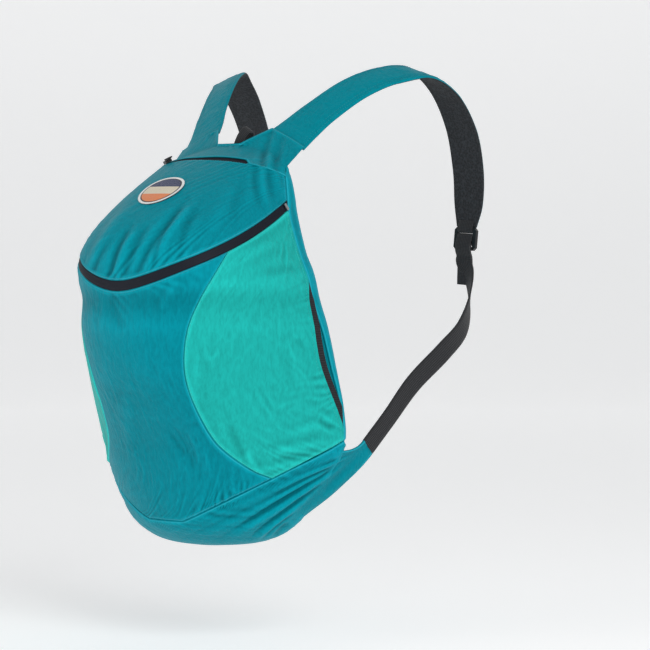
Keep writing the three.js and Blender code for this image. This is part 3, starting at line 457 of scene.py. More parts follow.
def nylon(name, colour, shift):
    """Thin coated nylon: fine upright crinkles, a close weave, painted shade in its creases and hollows, and a
    painted highlight along its folded edges at the seams
    """
    shader, add, mix, finish = new_material(name, 0.50)
    shader.inputs["Specular IOR Level"].default_value = 0.12
    shader.inputs["Specular Tint"].default_value = (*(min(1, 0.12 + 1.2 * c) for c in colour), 1)
    shader.inputs["Sheen Weight"].default_value = 0.02
    shader.inputs["Sheen Roughness"].default_value = 0.4
    shader.inputs["Sheen Tint"].default_value = (*(min(1, 0.3 + c) for c in colour), 1)
    where = add("ShaderNodeTexCoord")
    stretch = add("ShaderNodeMapping", Vector=where.outputs["Object"], Scale=(1, 1, 0.28),
                  Location=(shift, 0, 0))
    creases = add("ShaderNodeTexNoise", Vector=stretch.outputs[0], Scale=420.0, Detail=5.0, Roughness=0.6,
                  Distortion=0.6)
    dents = add("ShaderNodeTexNoise", Vector=stretch.outputs[0], Scale=120.0, Detail=3.0, Distortion=0.9)
    tone = add("ShaderNodeTexNoise", Vector=where.outputs["Object"], Scale=8.0, Detail=4.0)
    weave_up = add("ShaderNodeTexWave", {"bands_direction": "X"}, Vector=where.outputs["UV"], Scale=420.0)
    weave_across = add("ShaderNodeTexWave", {"bands_direction": "Y"}, Vector=where.outputs["UV"], Scale=420.0)
    weave = add("ShaderNodeMath", {"operation": "ADD"}, i0=weave_up.outputs["Fac"],
                i1=weave_across.outputs["Fac"])
    dark = tuple(c * 0.95 for c in colour)
    light = tuple(min(1, c * 1.05) for c in colour)
    patches = mix(tone.outputs["Fac"], dark, light)
    # Painted shade and light of the crinkles: the crease noise darkens the colour in its low parts and lightens it
    # a little on its high parts.
    lines = add("ShaderNodeMapRange", Value=creases.outputs["Fac"], From_Min=0.36, From_Max=0.58, To_Min=0.90,
                To_Max=1.04)
    # Painted shade: the colour is darkened where the cloth lies in a hollow below the cloth round it, and lightened
    # a little on its ridges.
    hollow = add("ShaderNodeAttribute", {"attribute_name": "hollow"})
    painted_hollow_shade = add("ShaderNodeMapRange", Value=hollow.outputs["Fac"], From_Min=-0.40, From_Max=0.45, To_Min=1.14,
                 To_Max=0.52)
    both = add("ShaderNodeMath", {"operation": "MULTIPLY"}, i0=lines.outputs[0], i1=painted_hollow_shade.outputs[0])
    grey = add("ShaderNodeCombineColor", Red=both.outputs[0], Green=both.outputs[0], Blue=both.outputs[0])
    tone_with_painted_shade = mix(1.0, patches, grey.outputs[0], "MULTIPLY")
    # Painted highlight: a thin lighter line along each folded edge, about 1.6 mm in from the seam.
    seam = add("ShaderNodeAttribute", {"attribute_name": "seam_distance"})
    from_fold = add("ShaderNodeMath", {"operation": "SUBTRACT"}, i0=seam.outputs["Fac"], i1=1.6)
    spread = add("ShaderNodeMath", {"operation": "ABSOLUTE"}, i0=from_fold.outputs[0])
    painted_highlight_mask = add("ShaderNodeMapRange", {"interpolation_type": "SMOOTHSTEP"}, Value=spread.outputs[0],
                    From_Min=0.1, From_Max=1.0, To_Min=0.6, To_Max=0.0)
    painted_edge_highlight = tuple(min(1, c * 1.6 + 0.03) for c in colour)
    with_painted_highlight = mix(painted_highlight_mask.outputs[0], tone_with_painted_shade, painted_edge_highlight)
    coarse = add("ShaderNodeBump", Height=dents.outputs["Fac"], Strength=0.6, Distance=0.0016)
    fine = add("ShaderNodeBump", Height=creases.outputs["Fac"], Strength=0.7, Distance=0.0008,
               Normal=coarse.outputs[0])
    close = add("ShaderNodeBump", Height=weave.outputs[0], Strength=0.12, Distance=0.0001,
                Normal=fine.outputs[0])
    return finish(with_painted_highlight, close.outputs[0])


nylon_teal = nylon("nylon_teal", srgb(5, 146, 162), 0.0)
nylon_mint = nylon("nylon_mint", srgb(34, 188, 180), 3.0)
cloth_thickness = 0.0005


def add_uv(piece, across, up):
    """A UV map in metres, from how far across and up the cloth each point lies in millimetres"""
    mesh = piece.data
    corner = np.empty(len(mesh.loops), int)
    mesh.loops.foreach_get("vertex_index", corner)
    layer = mesh.uv_layers.new(name="UVMap")
    layer.data.foreach_set("uv", np.stack([across[corner], up[corner]], 1).ravel() / 1000)


def in_frame(points):
    return points.reshape(-1, 3) / 1000 - np.array(bag_origin)


def net_object(name, points, around=False, out=True, seam=None, uv=None):
    """A mesh over a net of points in the bag's millimetres"""
    rows, columns = points.shape[:2]
    faces = []
    for j in range(rows - 1):
        for i in range(columns if around else columns - 1):
            k = (i + 1) % columns
            quad = (j * columns + i, j * columns + k, (j + 1) * columns + k, (j + 1) * columns + i)
            faces.append(quad if out else quad[::-1])
    piece = mesh_object(name, in_frame(points), faces)
    if uv is None:
        across = np.broadcast_to(running(points, 1).mean(0)[None], (rows, columns))
        uv = across, np.broadcast_to(running(points, 0).mean(1)[:, None], (rows, columns))
    add_uv(piece, uv[0].ravel(), uv[1].ravel())
    if seam is not None:
        # The distance from the seams places the nylon's painted edge highlight.
        distance = piece.data.attributes.new("seam_distance", "FLOAT", "POINT")
        distance.data.foreach_set("value", seam.ravel())
        # The depth of each hollow is stored to paint shade into the nylon's colour.
        hollow = piece.data.attributes.new("hollow", "FLOAT", "POINT")
        hollow.data.foreach_set("value", hollows(points).ravel() * (1 if out else -1))
    piece.data.shade_smooth()
    return piece


def finish_trim(piece, node, material, thickness=cloth_thickness):
    """Gives a cut piece its thickness and finish, and the place of its node"""
    piece.data.materials.append(material)
    wall = piece.modifiers.new("thickness", "SOLIDIFY")
    wall.thickness = thickness
    wall.offset = -1
    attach(piece, "root")
    if node:
        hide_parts(node)
    return piece


def finish_cloth(piece, points, node, material, thickness=cloth_thickness):
    finish_trim(piece, node, material, thickness)
    width = float(running(points, 1)[:, -1].max()) / 1000
    length = float(running(points, 0)[-1].max()) / 1000


def inside_edge(points, edge, distance):
    """A line on a net at a distance from one of its edges, a little proud of it, and its normals"""
    net = points if edge in "lh" else points.transpose(1, 0, 2)
    normals = net_normals(points)
    normals = normals if edge in "lh" else normals.transpose(1, 0, 2)
    if edge in "hb":
        net, normals = net[::-1], normals[::-1]
    away = running(net, 0)
    n = np.arange(net.shape[1])
    j = np.clip((away < distance).sum(0), 1, len(net) - 1)
    f = ((distance - away[j - 1, n]) / (away[j, n] - away[j - 1, n]))[:, None]
    line = net[j - 1, n] * (1 - f) + net[j, n] * f
    return line + normals[j, n] * 0.12, normals[j, n]


def front_panel():
    u, v = crowded(116), crowded(130)
    reach = 2 * u - 1
    low = seam_place(reach * pocket_tip, bottom_seam_heights(reach * pocket_tip))
    high = front_zip_edge(reach * pocket_top, -1)
    right = pocket_front_edge(v)
    places = fill_places(u, v, low, high, right * np.array([-1, 1]), right)
    points = body_points(places[..., 0], places[..., 1])
    across, up = running(points, 1), running(points, 0)
    tuck, nearest = seam_tuck(points)
    right_of_aim, above_aim = seen(points)
    gathered = np.exp(-((right_of_aim + 4) / 22) ** 2 - ((above_aim + 181) / 16) ** 2)
    relief = calm_crinkles(across, up, nearest, 11)
    relief += pucker(across, up, 7.5, 0.7, 12, 12)
    relief += pucker(across + 0.6 * up, up, 5.6, 1.6, 10, 16) * gathered
    relief += pucker(across, up[-1:] - up, 11, 0.6, 15, 14)
    relief += folds(points, [
        (-105, -70, -92, -150, 1.2, 9), (-60, -95, -30, -150, -0.9, 8), (-48, 40, -66, 8, 0.8, 5),
        (-118, 30, -104, -12, -0.9, 7), (-20, -150, -34, -100, 0.8, 8),
    ])
    return raise_net(points, relief + tuck), nearest


front, front_seam = front_panel()
finish_cloth(net_object("front_panel_cloth", front, seam=front_seam), front, "front_panel", nylon_teal)

# Side pockets: mint nylon sewn in at the front edge, top and bottom, and open along the rear edge,
# where a black elastic draws it in. The side of the bag behind it is teal and hangs slack.
pocket_lift = 7.0
pocket_slack = 12.0
mouth_inset = 16.0
elastic_width = 7.0
mouth_foot = 0.06
mouth_head = 0.70
under_pocket = 1.9


def pocket_places(u, v):
    reach = pocket_tip + (1 - pocket_tip) * u
    low = seam_place(reach, bottom_seam_heights(reach))
    high = front_zip_edge(pocket_top + (1 - pocket_top) * u, -1)
    heights = height_at(np.array([low[-1, 1], high[-1, 1]]))
    rear = seam_place(np.ones_like(v), heights[0] + (heights[1] - heights[0]) * v)
    return fill_places(u, v, low, high, pocket_front_edge(v), rear)


def mouth_open(v):
    return np.sin(math.pi * np.clip((v - mouth_foot) / (mouth_head - mouth_foot), 0, 1))


def pocket_cloth():
    u, v = crowded(84), crowded(130)
    places = pocket_places(u, v)
    opened = mouth_open(v)[:, None]
    places[..., 0] -= mouth_inset * opened * u[None] ** 2 / half_girth(places[..., 1])
    points = raise_net(body_points(places[..., 0], places[..., 1]), pocket_lift * opened * u[None] ** 2)
    across, up = running(points, 1), running(points, 0)
    from_mouth = across[:, -1:] - across
    tuck, nearest = seam_tuck(points, "lha")
    relief = calm_crinkles(across, up, nearest, 31)
    relief += pucker(across, up, 9, 0.6, 14, 32)
    relief += pucker(up, from_mouth, 8, 0.6, 12, 34) * opened
    relief += folds(points, [
        (40, -128, 98, -119, 1.5, 5), (44, -137, 84, -131, -1.2, 4), (22, -147, 58, -141, 1.2, 4),
        (56, -112, 100, -98, 0.9, 6), (14, -126, 34, -156, 1.0, 4), (-2, -98, 16, -134, -0.9, 6),
        (84, -96, 103, -106, -1.2, 4), (10, 56, 44, 78, 0.9, 6), (30, 46, 66, 52, -0.8, 6),
        (-30, -40, -34, -84, 0.7, 7), (60, -20, 78, -70, 0.7, 9),
    ])
    return raise_net(points, relief + tuck), nearest


def gusset_cloth():
    u, v = crowded(60), crowded(90)
    places = pocket_places(u, v)
    points = body_points(places[..., 0], places[..., 1])
    slack = np.sin(math.pi * v)[:, None] * (1 - (2 * u[None] - 1) ** 4)
    loose = crinkles(running(points, 1), running(points, 0), 51) * slack
    return raise_net(points, loose - under_pocket - pocket_slack * slack)


def elastic_band(pocket):
    """A ribbed band that carries on from the pocket's open edge"""
    v = crowded(130)
    opened = mouth_open(v)
    width = np.minimum(elastic_width, mouth_inset * opened)
    held = width > 0.5
    seam = pocket_places(np.array([0.0, 1.0]), v)[held, -1]
    f = np.linspace(0, 1, 9)[None]
    pulled = (width[held, None] * f - mouth_inset * opened[held, None]) / half_girth(seam[:, 1])[:, None]
    net = body_points(seam[:, :1] + pulled, np.broadcast_to(seam[:, 1:], pulled.shape))
    net = raise_net(net, pocket_lift * opened[held, None] - 0.8 * f ** 2)
    net += (pocket[held, -1] - net[:, 0])[:, None] * (1 - f[..., None])
    return net


shader, add, mix, finish = new_material("ribbed_elastic", 0.8)
where = add("ShaderNodeTexCoord")
ribs = add("ShaderNodeTexWave", {"bands_direction": "X"}, Vector=where.outputs["UV"], Scale=260.0)
gathers = add("ShaderNodeTexWave", {"bands_direction": "Y"}, Vector=where.outputs["UV"], Scale=130.0,
              Distortion=1.0)
both = add("ShaderNodeMath", {"operation": "ADD"}, i0=ribs.outputs["Fac"], i1=gathers.outputs["Fac"])
elastic_black = finish(
    mix(gathers.outputs["Fac"], srgb(12, 13, 16), srgb(34, 36, 42)),
    add("ShaderNodeBump", Height=both.outputs[0], Strength=0.6, Distance=0.0004).outputs[0])


def mirrored(points):
    return points * np.array([-1, 1, 1])


pocket, pocket_seam = pocket_cloth()
gusset = gusset_cloth()
elastic = elastic_band(pocket)
for side, turned in (("right", False), ("left", True)):
    cloth, behind, band = ((mirrored(net) if turned else net) for net in (pocket, gusset, elastic))
    trim = finish_trim(net_object(f"pocket_elastic_band_{side}", band, out=not turned),
                       f"pocket_elastic_{side}", elastic_black, thickness=0.0012)
    finish_cloth(net_object(f"side_pocket_cloth_{side}", cloth, out=not turned, seam=pocket_seam), cloth,
                 f"side_pocket_{side}", nylon_mint)
    finish_cloth(net_object(f"side_gusset_cloth_{side}", behind, out=not turned), behind,
                 f"side_gusset_{side}", nylon_teal)

# Front zip: a closed zip with its coil turned inwards, sewn between the panels from one side seam
# to the other in a shallow vee. Its woven tape is tucked under the panels' folded edges.


def zip_net(edge, reaches, tucked):
    """A tape's net; tucked is how far its edges run under the cloth, as a share of half its width"""
    low, high = edge(reaches, -1), edge(reaches, 1)
    t = np.linspace(-tucked, tucked, 17)
    v = ((1 + t) / 2)[:, None, None]
    places = (1 - v) * low[None] + v * high[None]
    points = body_points(places[..., 0], places[..., 1])
    across = 0.35 * np.exp(-(t / 0.16) ** 2) - 0.55 * np.exp(-(t / 0.045) ** 2)
    across += -0.5 - 1.1 * smooth((np.abs(t) - 0.92) / 0.12)
    return raise_net(points, across[:, None] * np.ones(len(reaches))[None])


shader, add, mix, finish = new_material("zip_tape", 0.6)
shader.inputs["Specular IOR Level"].default_value = 0.2
where = add("ShaderNodeTexCoord")
twill = add("ShaderNodeTexWave", {"bands_direction": "DIAGONAL"}, Vector=where.outputs["UV"], Scale=330.0)
zip_tape = finish(
    mix(twill.outputs["Fac"], srgb(12, 16, 26), srgb(26, 30, 42)),
    add("ShaderNodeBump", Height=twill.outputs["Fac"], Strength=0.35, Distance=0.0002).outputs[0])

front_zip_net = zip_net(front_zip_edge, np.linspace(-1, 1, 281), 1.12)
front_zip = finish_trim(net_object("front_zip_tape", front_zip_net), "front_zip", zip_tape,
                        thickness=0.0009)

# Top panel: teal nylon from the front zip to the top zip, cut too wide for its zip so that it
# gathers into soft slanting folds above it.
top_zip_height = 388.0
top_zip_end_height = 371.0
top_zip_width = 8.0
top_zip_parting = 0.2


def top_zip_edge(reach, side, opened=1.0):
    height = top_zip_height - (top_zip_height - top_zip_end_height) * np.abs(reach) ** 3
    return seam_place(reach, height + side * top_zip_parting * top_zip_width * opened)


def top_zip_lips(reach, side):
    """The cloth's folded edges beside the top zip: nearly shut at the left and open to the right;
    beyond both its ends the upper edge is lapped over the lower one"""
    lapped = -1.5 if side > 0 else 0.1
    opened = np.interp(reach, [-1, -0.66, -0.62, -0.1, 0.2, 0.6, 0.63, 1],
                       [lapped, lapped, 0.4, 0.4, 0.8, 1.0, lapped, lapped])
    return top_zip_edge(reach, side, opened)


def top_panel():
    u, v = crowded(200), crowded(116)
    reach = 2 * u - 1
    low, high = front_zip_edge(reach, 1), top_zip_lips(reach, -1)
    heights = height_at(np.array([low[-1, 1], high[-1, 1]]))
    right = seam_place(np.ones_like(v), heights[0] + (heights[1] - heights[0]) * v)
    places = fill_places(u, v, low, high, right * np.array([-1, 1]), right)
    points = body_points(places[..., 0], places[..., 1])
    across, up = running(points, 1), running(points, 0)
    tuck, nearest = seam_tuck(points)
    relief = calm_crinkles(across, up, nearest, 71)
    relief += pucker(across - 0.4 * up, up, 13, 0.8, 18, 72)
    relief += pucker(across, up[-1:] - up, 10, 0.5, 10, 74) * smooth((up[-1:] - up) / 8)
    relief += folds(points, [
        (-92, 42, -42, 118, -2.1, 4.5), (-83, 44, -36, 114, 1.7, 5), (-120, 38, -98, 92, -1.5, 4),
        (-113, 38, -92, 90, 1.2, 4), (-150, 52, -106, 122, -1.8, 7), (-142, 48, -98, 116, 1.2, 7),
        (-138, 40, -120, 76, -1.1, 3.5), (-76, 50, -50, 106, -1.3, 4), (-69, 54, -44, 106, 1.1, 4.5),
        (-104, 40, -78, 96, -1.2, 4), (-50, 64, -30, 112, -0.9, 5), (28, 112, 24, 168, -1.0, 4.5),
        (35, 112, 31, 164, 0.9, 4.5), (42, 118, 38, 166, -1.0, 4), (49, 124, 45, 164, 0.8, 4),
        (-20, 84, 4, 134, 0.8, 9), (0, 96, 18, 146, -0.8, 7),
    ]) * smooth(nearest / 6)
    return raise_net(points, relief + tuck), nearest


top, top_seam = top_panel()
finish_cloth(net_object("top_panel_cloth", top, seam=top_seam), top, "top_panel", nylon_teal)

# Top zip: a short dark zip across the top, closed, under the folded edges of the cloth.
top_zip_net = zip_net(top_zip_edge, np.linspace(-0.645, 0.635, 181), 1.0)
top_zip = finish_trim(net_object("top_zip_tape", top_zip_net), "top_zip", zip_tape,
                      thickness=0.0009)

# Back panel: one flat piece of teal nylon, wrapped round both back corners to the side seams.
back_seam_drop = 10.0
tuck_under_yoke = 3.3


def back_seam(u):
    height = float(bottom_seam_heights(1.0)) - back_seam_drop * np.sin(math.pi * u)
    place = seam_place(np.ones_like(u), height)
    return np.stack([place[:, 0] + (2 - 2 * place[:, 0]) * u, place[:, 1]], -1)


def back_panel():
    u, v = crowded(110), crowded(110)
    low = back_seam(u)
    foot = float(bottom_seam_heights(1.0))
    right = seam_place(np.ones_like(v), foot + (bag_height - foot) * v)
    yoke_foot = float(seam_place(1.0, top_zip_end_height + 0.64)[1])
    right[:, 0] += tuck_under_yoke * smooth((right[:, 1] - yoke_foot) / 0.3) / half_girth(right[:, 1])
    left = right * np.array([-1, 1]) + np.array([2, 0])
    neck = right[-1, 0]
    high = np.stack([neck + (2 - 2 * neck) * u, np.full_like(u, top_level)], -1)
    places = fill_places(u, v, low, high, right, left)
    points = body_points(places[..., 0], places[..., 1])
    across, up = running(points, 1), running(points, 0)
    tuck, nearest = seam_tuck(points, "lab")
    relief = calm_crinkles(across, up, nearest, 91)
    relief += pucker(across, up, 11, 0.7, 16, 92)
    relief += 0.5 * np.sin(2 * math.pi * up / 52 + 3.6 * crumple(across, up, 70, 94)) * smooth(nearest / 30)
    return raise_net(points, relief + tuck), nearest


back, back_seam_distance = back_panel()
finish_cloth(net_object("back_panel_cloth", back, seam=back_seam_distance), back, "back_panel", nylon_teal)

# Bottom panel: a shallow dish of teal nylon under the bag. At each side it is drawn out into a
# doubled ear that takes the pull of the lower webbing and throws long folds back across the dish.
wing_tip = np.array([154.0, 25.0, 101.0])
webbing_width = 20.0
wing_root_bottom = 12.0

# angle below level as seen, nearest and furthest distance from the ear's tip, height, half width
pull_folds = [
    (31.5, 10, 158, -2.2, 2.6), (34.0, 25, 150, 1.5, 2.8), (37.6, 55, 156, -1.8, 2.5),
    (39.8, 70, 150, 1.1, 2.6), (41.4, 95, 160, -1.4, 2.2), (44.0, 105, 148, -1.6, 2.8),
    (26.5, 12, 104, -1.5, 2.0), (28.6, 20, 120, 1.1, 2.2), (23.5, 10, 74, 1.0, 2.0),
    (45.0, 6, 64, -1.3, 3.4), (52.0, 20, 96, 1.0, 4.0), (20.0, 8, 52, -1.0, 1.8),
]


def pulled(points):
    """Long folds that run to the ear's tip on either side"""
    right, up = seen(points)
    tip_right, tip_up = seen(wing_tip)
    x, y = tip_right - right, tip_up - up
    distance = np.hypot(x, y)
    angle = np.degrees(np.arctan2(y, x))
    relief = np.zeros_like(distance)
    for middle, near, far, height, width in pull_folds:
        away = np.radians(angle - middle) * distance
        run = np.clip((distance - near) / (far - near), 0.02, 0.98)
        relief += fold_strength * height * np.exp(-(away / width) ** 2) * np.sin(math.pi * run) ** 0.6
    return relief


def both_sides(points, relief):
    """A relief made for the right half, on both halves"""
    folded = points.copy()
    folded[..., 0] = np.abs(folded[..., 0])
    return relief(folded)


def bottom_panel():
    reach = np.linspace(-1, 1, 250)
    front_edge = seam_place(reach, bottom_seam_heights(reach))
    loop = np.concatenate([front_edge, back_seam(np.linspace(0, 1, 90))[1:-1]])
    v = np.concatenate([np.linspace(0, 0.97, 62), [0.98, 0.987, 0.993, 1.0]])
    points = body_points(loop[None, :, 0] + 0 * v[:, None], loop[None, :, 1] * v[:, None])
    across, up = running(points, 1), running(points, 0)
    from_seam = up[-1:] - up
    right_of_aim, above_aim = seen(points)
    gathered = np.exp(-((right_of_aim + 4) / 24) ** 2 - ((above_aim + 186) / 14) ** 2)
    relief = crinkles(across, up, 111) * smooth(up / 40)
    relief += pucker(across, from_seam, 8, 0.7, 10, 112)
    relief += pucker(across - 0.6 * from_seam, from_seam, 4.6, 1.2, 8, 116) * gathered
    relief += both_sides(points, pulled) * (1 - np.exp(-from_seam / 5)) * smooth((points[..., 2] - 4) / 16)
    relief += 0.3 * np.exp(-((from_seam - 3.3) / 1.5) ** 2) - 1.1 * np.exp(-(from_seam / 1.5) ** 2)
    shaped = raise_net(points, relief)
    centre = shaped[0].mean(0)
    hub = centre + (shaped[:1] - centre) * np.array([0.02, 0.5, 0.98])[:, None, None]
    return np.concatenate([hub, shaped]), np.concatenate([np.repeat(from_seam[:1], 3, 0), from_seam])


bottom, bottom_seam = bottom_panel()
bottom_cloth = net_object("bottom_panel_cloth", bottom, around=True, seam=bottom_seam)
finish_cloth(bottom_cloth, bottom, "bottom_panel", nylon_teal)


def wing():
    """The ear's outer face, from a root that rises out of the dish to the webbing"""
    v = np.linspace(0, 1, 60)
    u = np.linspace(0, 1, 90)
    reach = 0.945 - 0.125 * np.sin(math.pi * np.clip(v * 1.1, 0, 1)) ** 0.8
    top = bottom_seam_heights(reach[0]) - 2.5
    height = np.minimum(top + (wing_root_bottom - top) * v, bottom_seam_heights(reach) - 3.0)
    place = seam_place(reach, height)
    root = body_points(place[:, 0], place[:, 1])
    start = body_points(place[:, 0] + 9 / half_girth(place[:, 1]), place[:, 1]) - root
    start /= np.linalg.norm(start, axis=1, keepdims=True)
    pull = np.array([0.10, 0.72, 0.68])
    end = wing_tip + (v[:, None] - 0.5) * webbing_width * np.array([0.0, 0.68, -0.73])
    reach_out = np.linalg.norm(end - root, axis=1, keepdims=True)
    straight = 0.85 * smooth(v)[:, None]
    start = (1 - straight) * start + straight * (end - root) / reach_out
    a, b = root + start * reach_out * 0.42, end - pull * reach_out * 0.30
    f = u[None, :, None]
    net = ((1 - f) ** 3 * root[:, None] + 3 * f * (1 - f) ** 2 * a[:, None]
           + 3 * f ** 2 * (1 - f) * b[:, None] + f ** 3 * end[:, None])
    relief = pulled(net) * (1 - 0.6 * u[None]) * np.sin(math.pi * v)[:, None] ** 0.2
    rising = -0.7 + 1.5 * smooth(u / 0.16)[None]
    fold = 0.8 * np.exp(-((running(net, 0) - 2) / 1.5) ** 2)
    from_edge = np.minimum(running(net, 0), running(net, 0)[-1:] - running(net, 0))
    return net - net_normals(net) * (relief + rising + fold)[..., None], from_edge


wing_net, wing_edge = wing()
for side, turned in (("right", False), ("left", True)):
    ear = mirrored(wing_net) if turned else wing_net
    finish_cloth(net_object(f"wing_cloth_{side}", ear, out=turned, seam=wing_edge), ear, None, nylon_teal,
                 thickness=0.0020)

# Shoulder straps: a thin pad in teal nylon with a dark mesh underside, stitched along both edges,
# sewn to the yoke and narrowed at the end into the ladder buckle.
shoulder_spread = 130.0
shoulder_reach = 132.0
crest_height = 480.0
strap_width = 42.0
strap_thickness = 4.0
strap_crown = 1.2

strap_route = table("out forward up width slope", [
    (0.45, 0.10, 0.850, 1.22, 0.36), (0.50, 0.21, 0.876, 1.12, 0.34), (0.58, 0.35, 0.911, 1.04, 0.33),
    (0.71, 0.59, 0.960, 1.00, 0.33), (0.85, 0.83, 0.990, 0.98, 0.32), (1.00, 1.06, 0.995, 0.98, 0.30),
    (1.07, 1.29, 0.954, 0.98, 0.25), (1.10, 1.47, 0.878, 0.98, 0.15), (1.11, 1.55, 0.790, 0.96, 0.06),
    (1.10, 1.57, 0.715, 0.88, 0.00), (1.09, 1.56, 0.665, 0.62, 0.00),
])
strap_last = len(strap_route["out"]) - 1


def route_points(route, place):
    return np.stack([
        read_table(route["out"], place) * shoulder_spread,
        read_table(route["forward"], place) * shoulder_reach,
        read_table(route["up"], place) * crest_height,
    ], -1)


def strap_frames(place):
    """Centre, run, width's direction and half width of the right strap"""
    centre = route_points(strap_route, place)
    ahead = route_points(strap_route, np.minimum(place + 0.05, strap_last))
    along = ahead - route_points(strap_route, np.maximum(place - 0.05, 0))
    along /= np.linalg.norm(along, axis=1, keepdims=True)
    slope = read_table(strap_route["slope"], place)
    fall = np.stack([np.sqrt(1 - slope ** 2), np.zeros_like(slope), -slope], -1)
    across = fall - along * (fall * along).sum(1, keepdims=True)
    across /= np.linalg.norm(across, axis=1, keepdims=True)
    return centre, along, across, read_table(strap_route["width"], place) * strap_width / 2


shader, add, mix, finish = new_material("strap_mesh", 0.85)
where = add("ShaderNodeTexCoord")
holes = add("ShaderNodeTexVoronoi", Vector=where.outputs["UV"], Scale=480.0)
strap_mesh = finish(
    mix(holes.outputs["Distance"], srgb(10, 11, 13), srgb(52, 55, 60)),
    add("ShaderNodeBump", Height=holes.outputs["Distance"], Strength=0.7, Distance=0.0008).outputs[0])

strap_steps = 260
strap_sides = 44


def strap_net():
    """Rings round the right strap, its teal face first and its mesh face after"""
    place = np.linspace(0, strap_last, strap_steps)
    centre, along, across, half = strap_frames(place)
    outwards = np.cross(across, along)
    run = np.concatenate([[0], np.cumsum(np.linalg.norm(np.diff(centre, axis=0), axis=1))])
    turn = np.linspace(0, 2 * math.pi, strap_sides, endpoint=False)
    x = np.sign(np.cos(turn)) * np.abs(np.cos(turn)) ** 0.7
    face = np.clip(3 * np.sin(turn), -1, 1)
    from_edge = (1 - np.abs(x))[None] * half[:, None]
    thick = strap_thickness / 2 * (0.30 + 0.70 * (1 - np.exp(-from_edge / 2.0)))
    thick -= 0.5 * np.exp(-((from_edge - 3.4) / 0.7) ** 2) + 0.6 * np.exp(-((from_edge - 7.4) / 0.9) ** 2)
    wander = x[None] * half[:, None]
    down = np.broadcast_to(run[:, None], wander.shape)
    wrinkle = 0.35 * crumple(wander, down, 10, 151)
    wrinkle += 0.25 * (1 - 2 * np.abs(crumple(wander, down, 5, 153)))
    wrinkle += pucker(down, from_edge, 6.5, 0.5, 5, 155)
    swell = 1 - np.exp(-from_edge / 3)
    height = face * thick + np.where(face > 0, wrinkle * swell, 0)
    height = height - strap_thickness / 2 + strap_crown * (1 - x ** 2)[None]
    return centre[:, None] + across[:, None] * wander[..., None] + outwards[:, None] * height[..., None]


def tube_object(name, net, turned):
    """A closed tube over a net whose columns run round it"""
    rows, columns = net.shape[:2]
    faces = []
    for j in range(rows - 1):
        for i in range(columns):
            k = (i + 1) % columns
            faces.append((j * columns + i, (j + 1) * columns + i, (j + 1) * columns + k, j * columns + k))
    faces.append(tuple(range(columns)))
    faces.append(tuple(reversed(range((rows - 1) * columns, rows * columns))))
    if turned:
        faces = [face[::-1] for face in faces]
    piece = mesh_object(name, in_frame(net), faces)
    around = np.broadcast_to(running(net, 1).mean(0)[None], (rows, columns))
    run = np.broadcast_to(running(net, 0).mean(1)[:, None], (rows, columns))
    add_uv(piece, around.ravel(), run.ravel())
    for polygon in piece.data.polygons:
        polygon.use_smooth = len(polygon.vertices) == 4
    return piece


straps = strap_net()
for side, turned in (("right", False), ("left", True)):
    pad = tube_object(f"shoulder_strap_pad_{side}", mirrored(straps) if turned else straps, turned)
    pad.data.materials.append(nylon_teal)
    pad.data.materials.append(strap_mesh)
    for polygon in pad.data.polygons:
        if len(polygon.vertices) == 4 and strap_sides // 2 <= polygon.index % strap_sides:
            polygon.material_index = 1
    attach(pad, "root")
    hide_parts(f"shoulder_strap_{side}")

# Yoke: teal nylon above the top zip, with a straight bound neck, that runs out at both sides over
# the roots of the shoulder straps and is sewn across them.
neck_width = 30.0
neck_hem = 3.0
armpit_height = 376.0


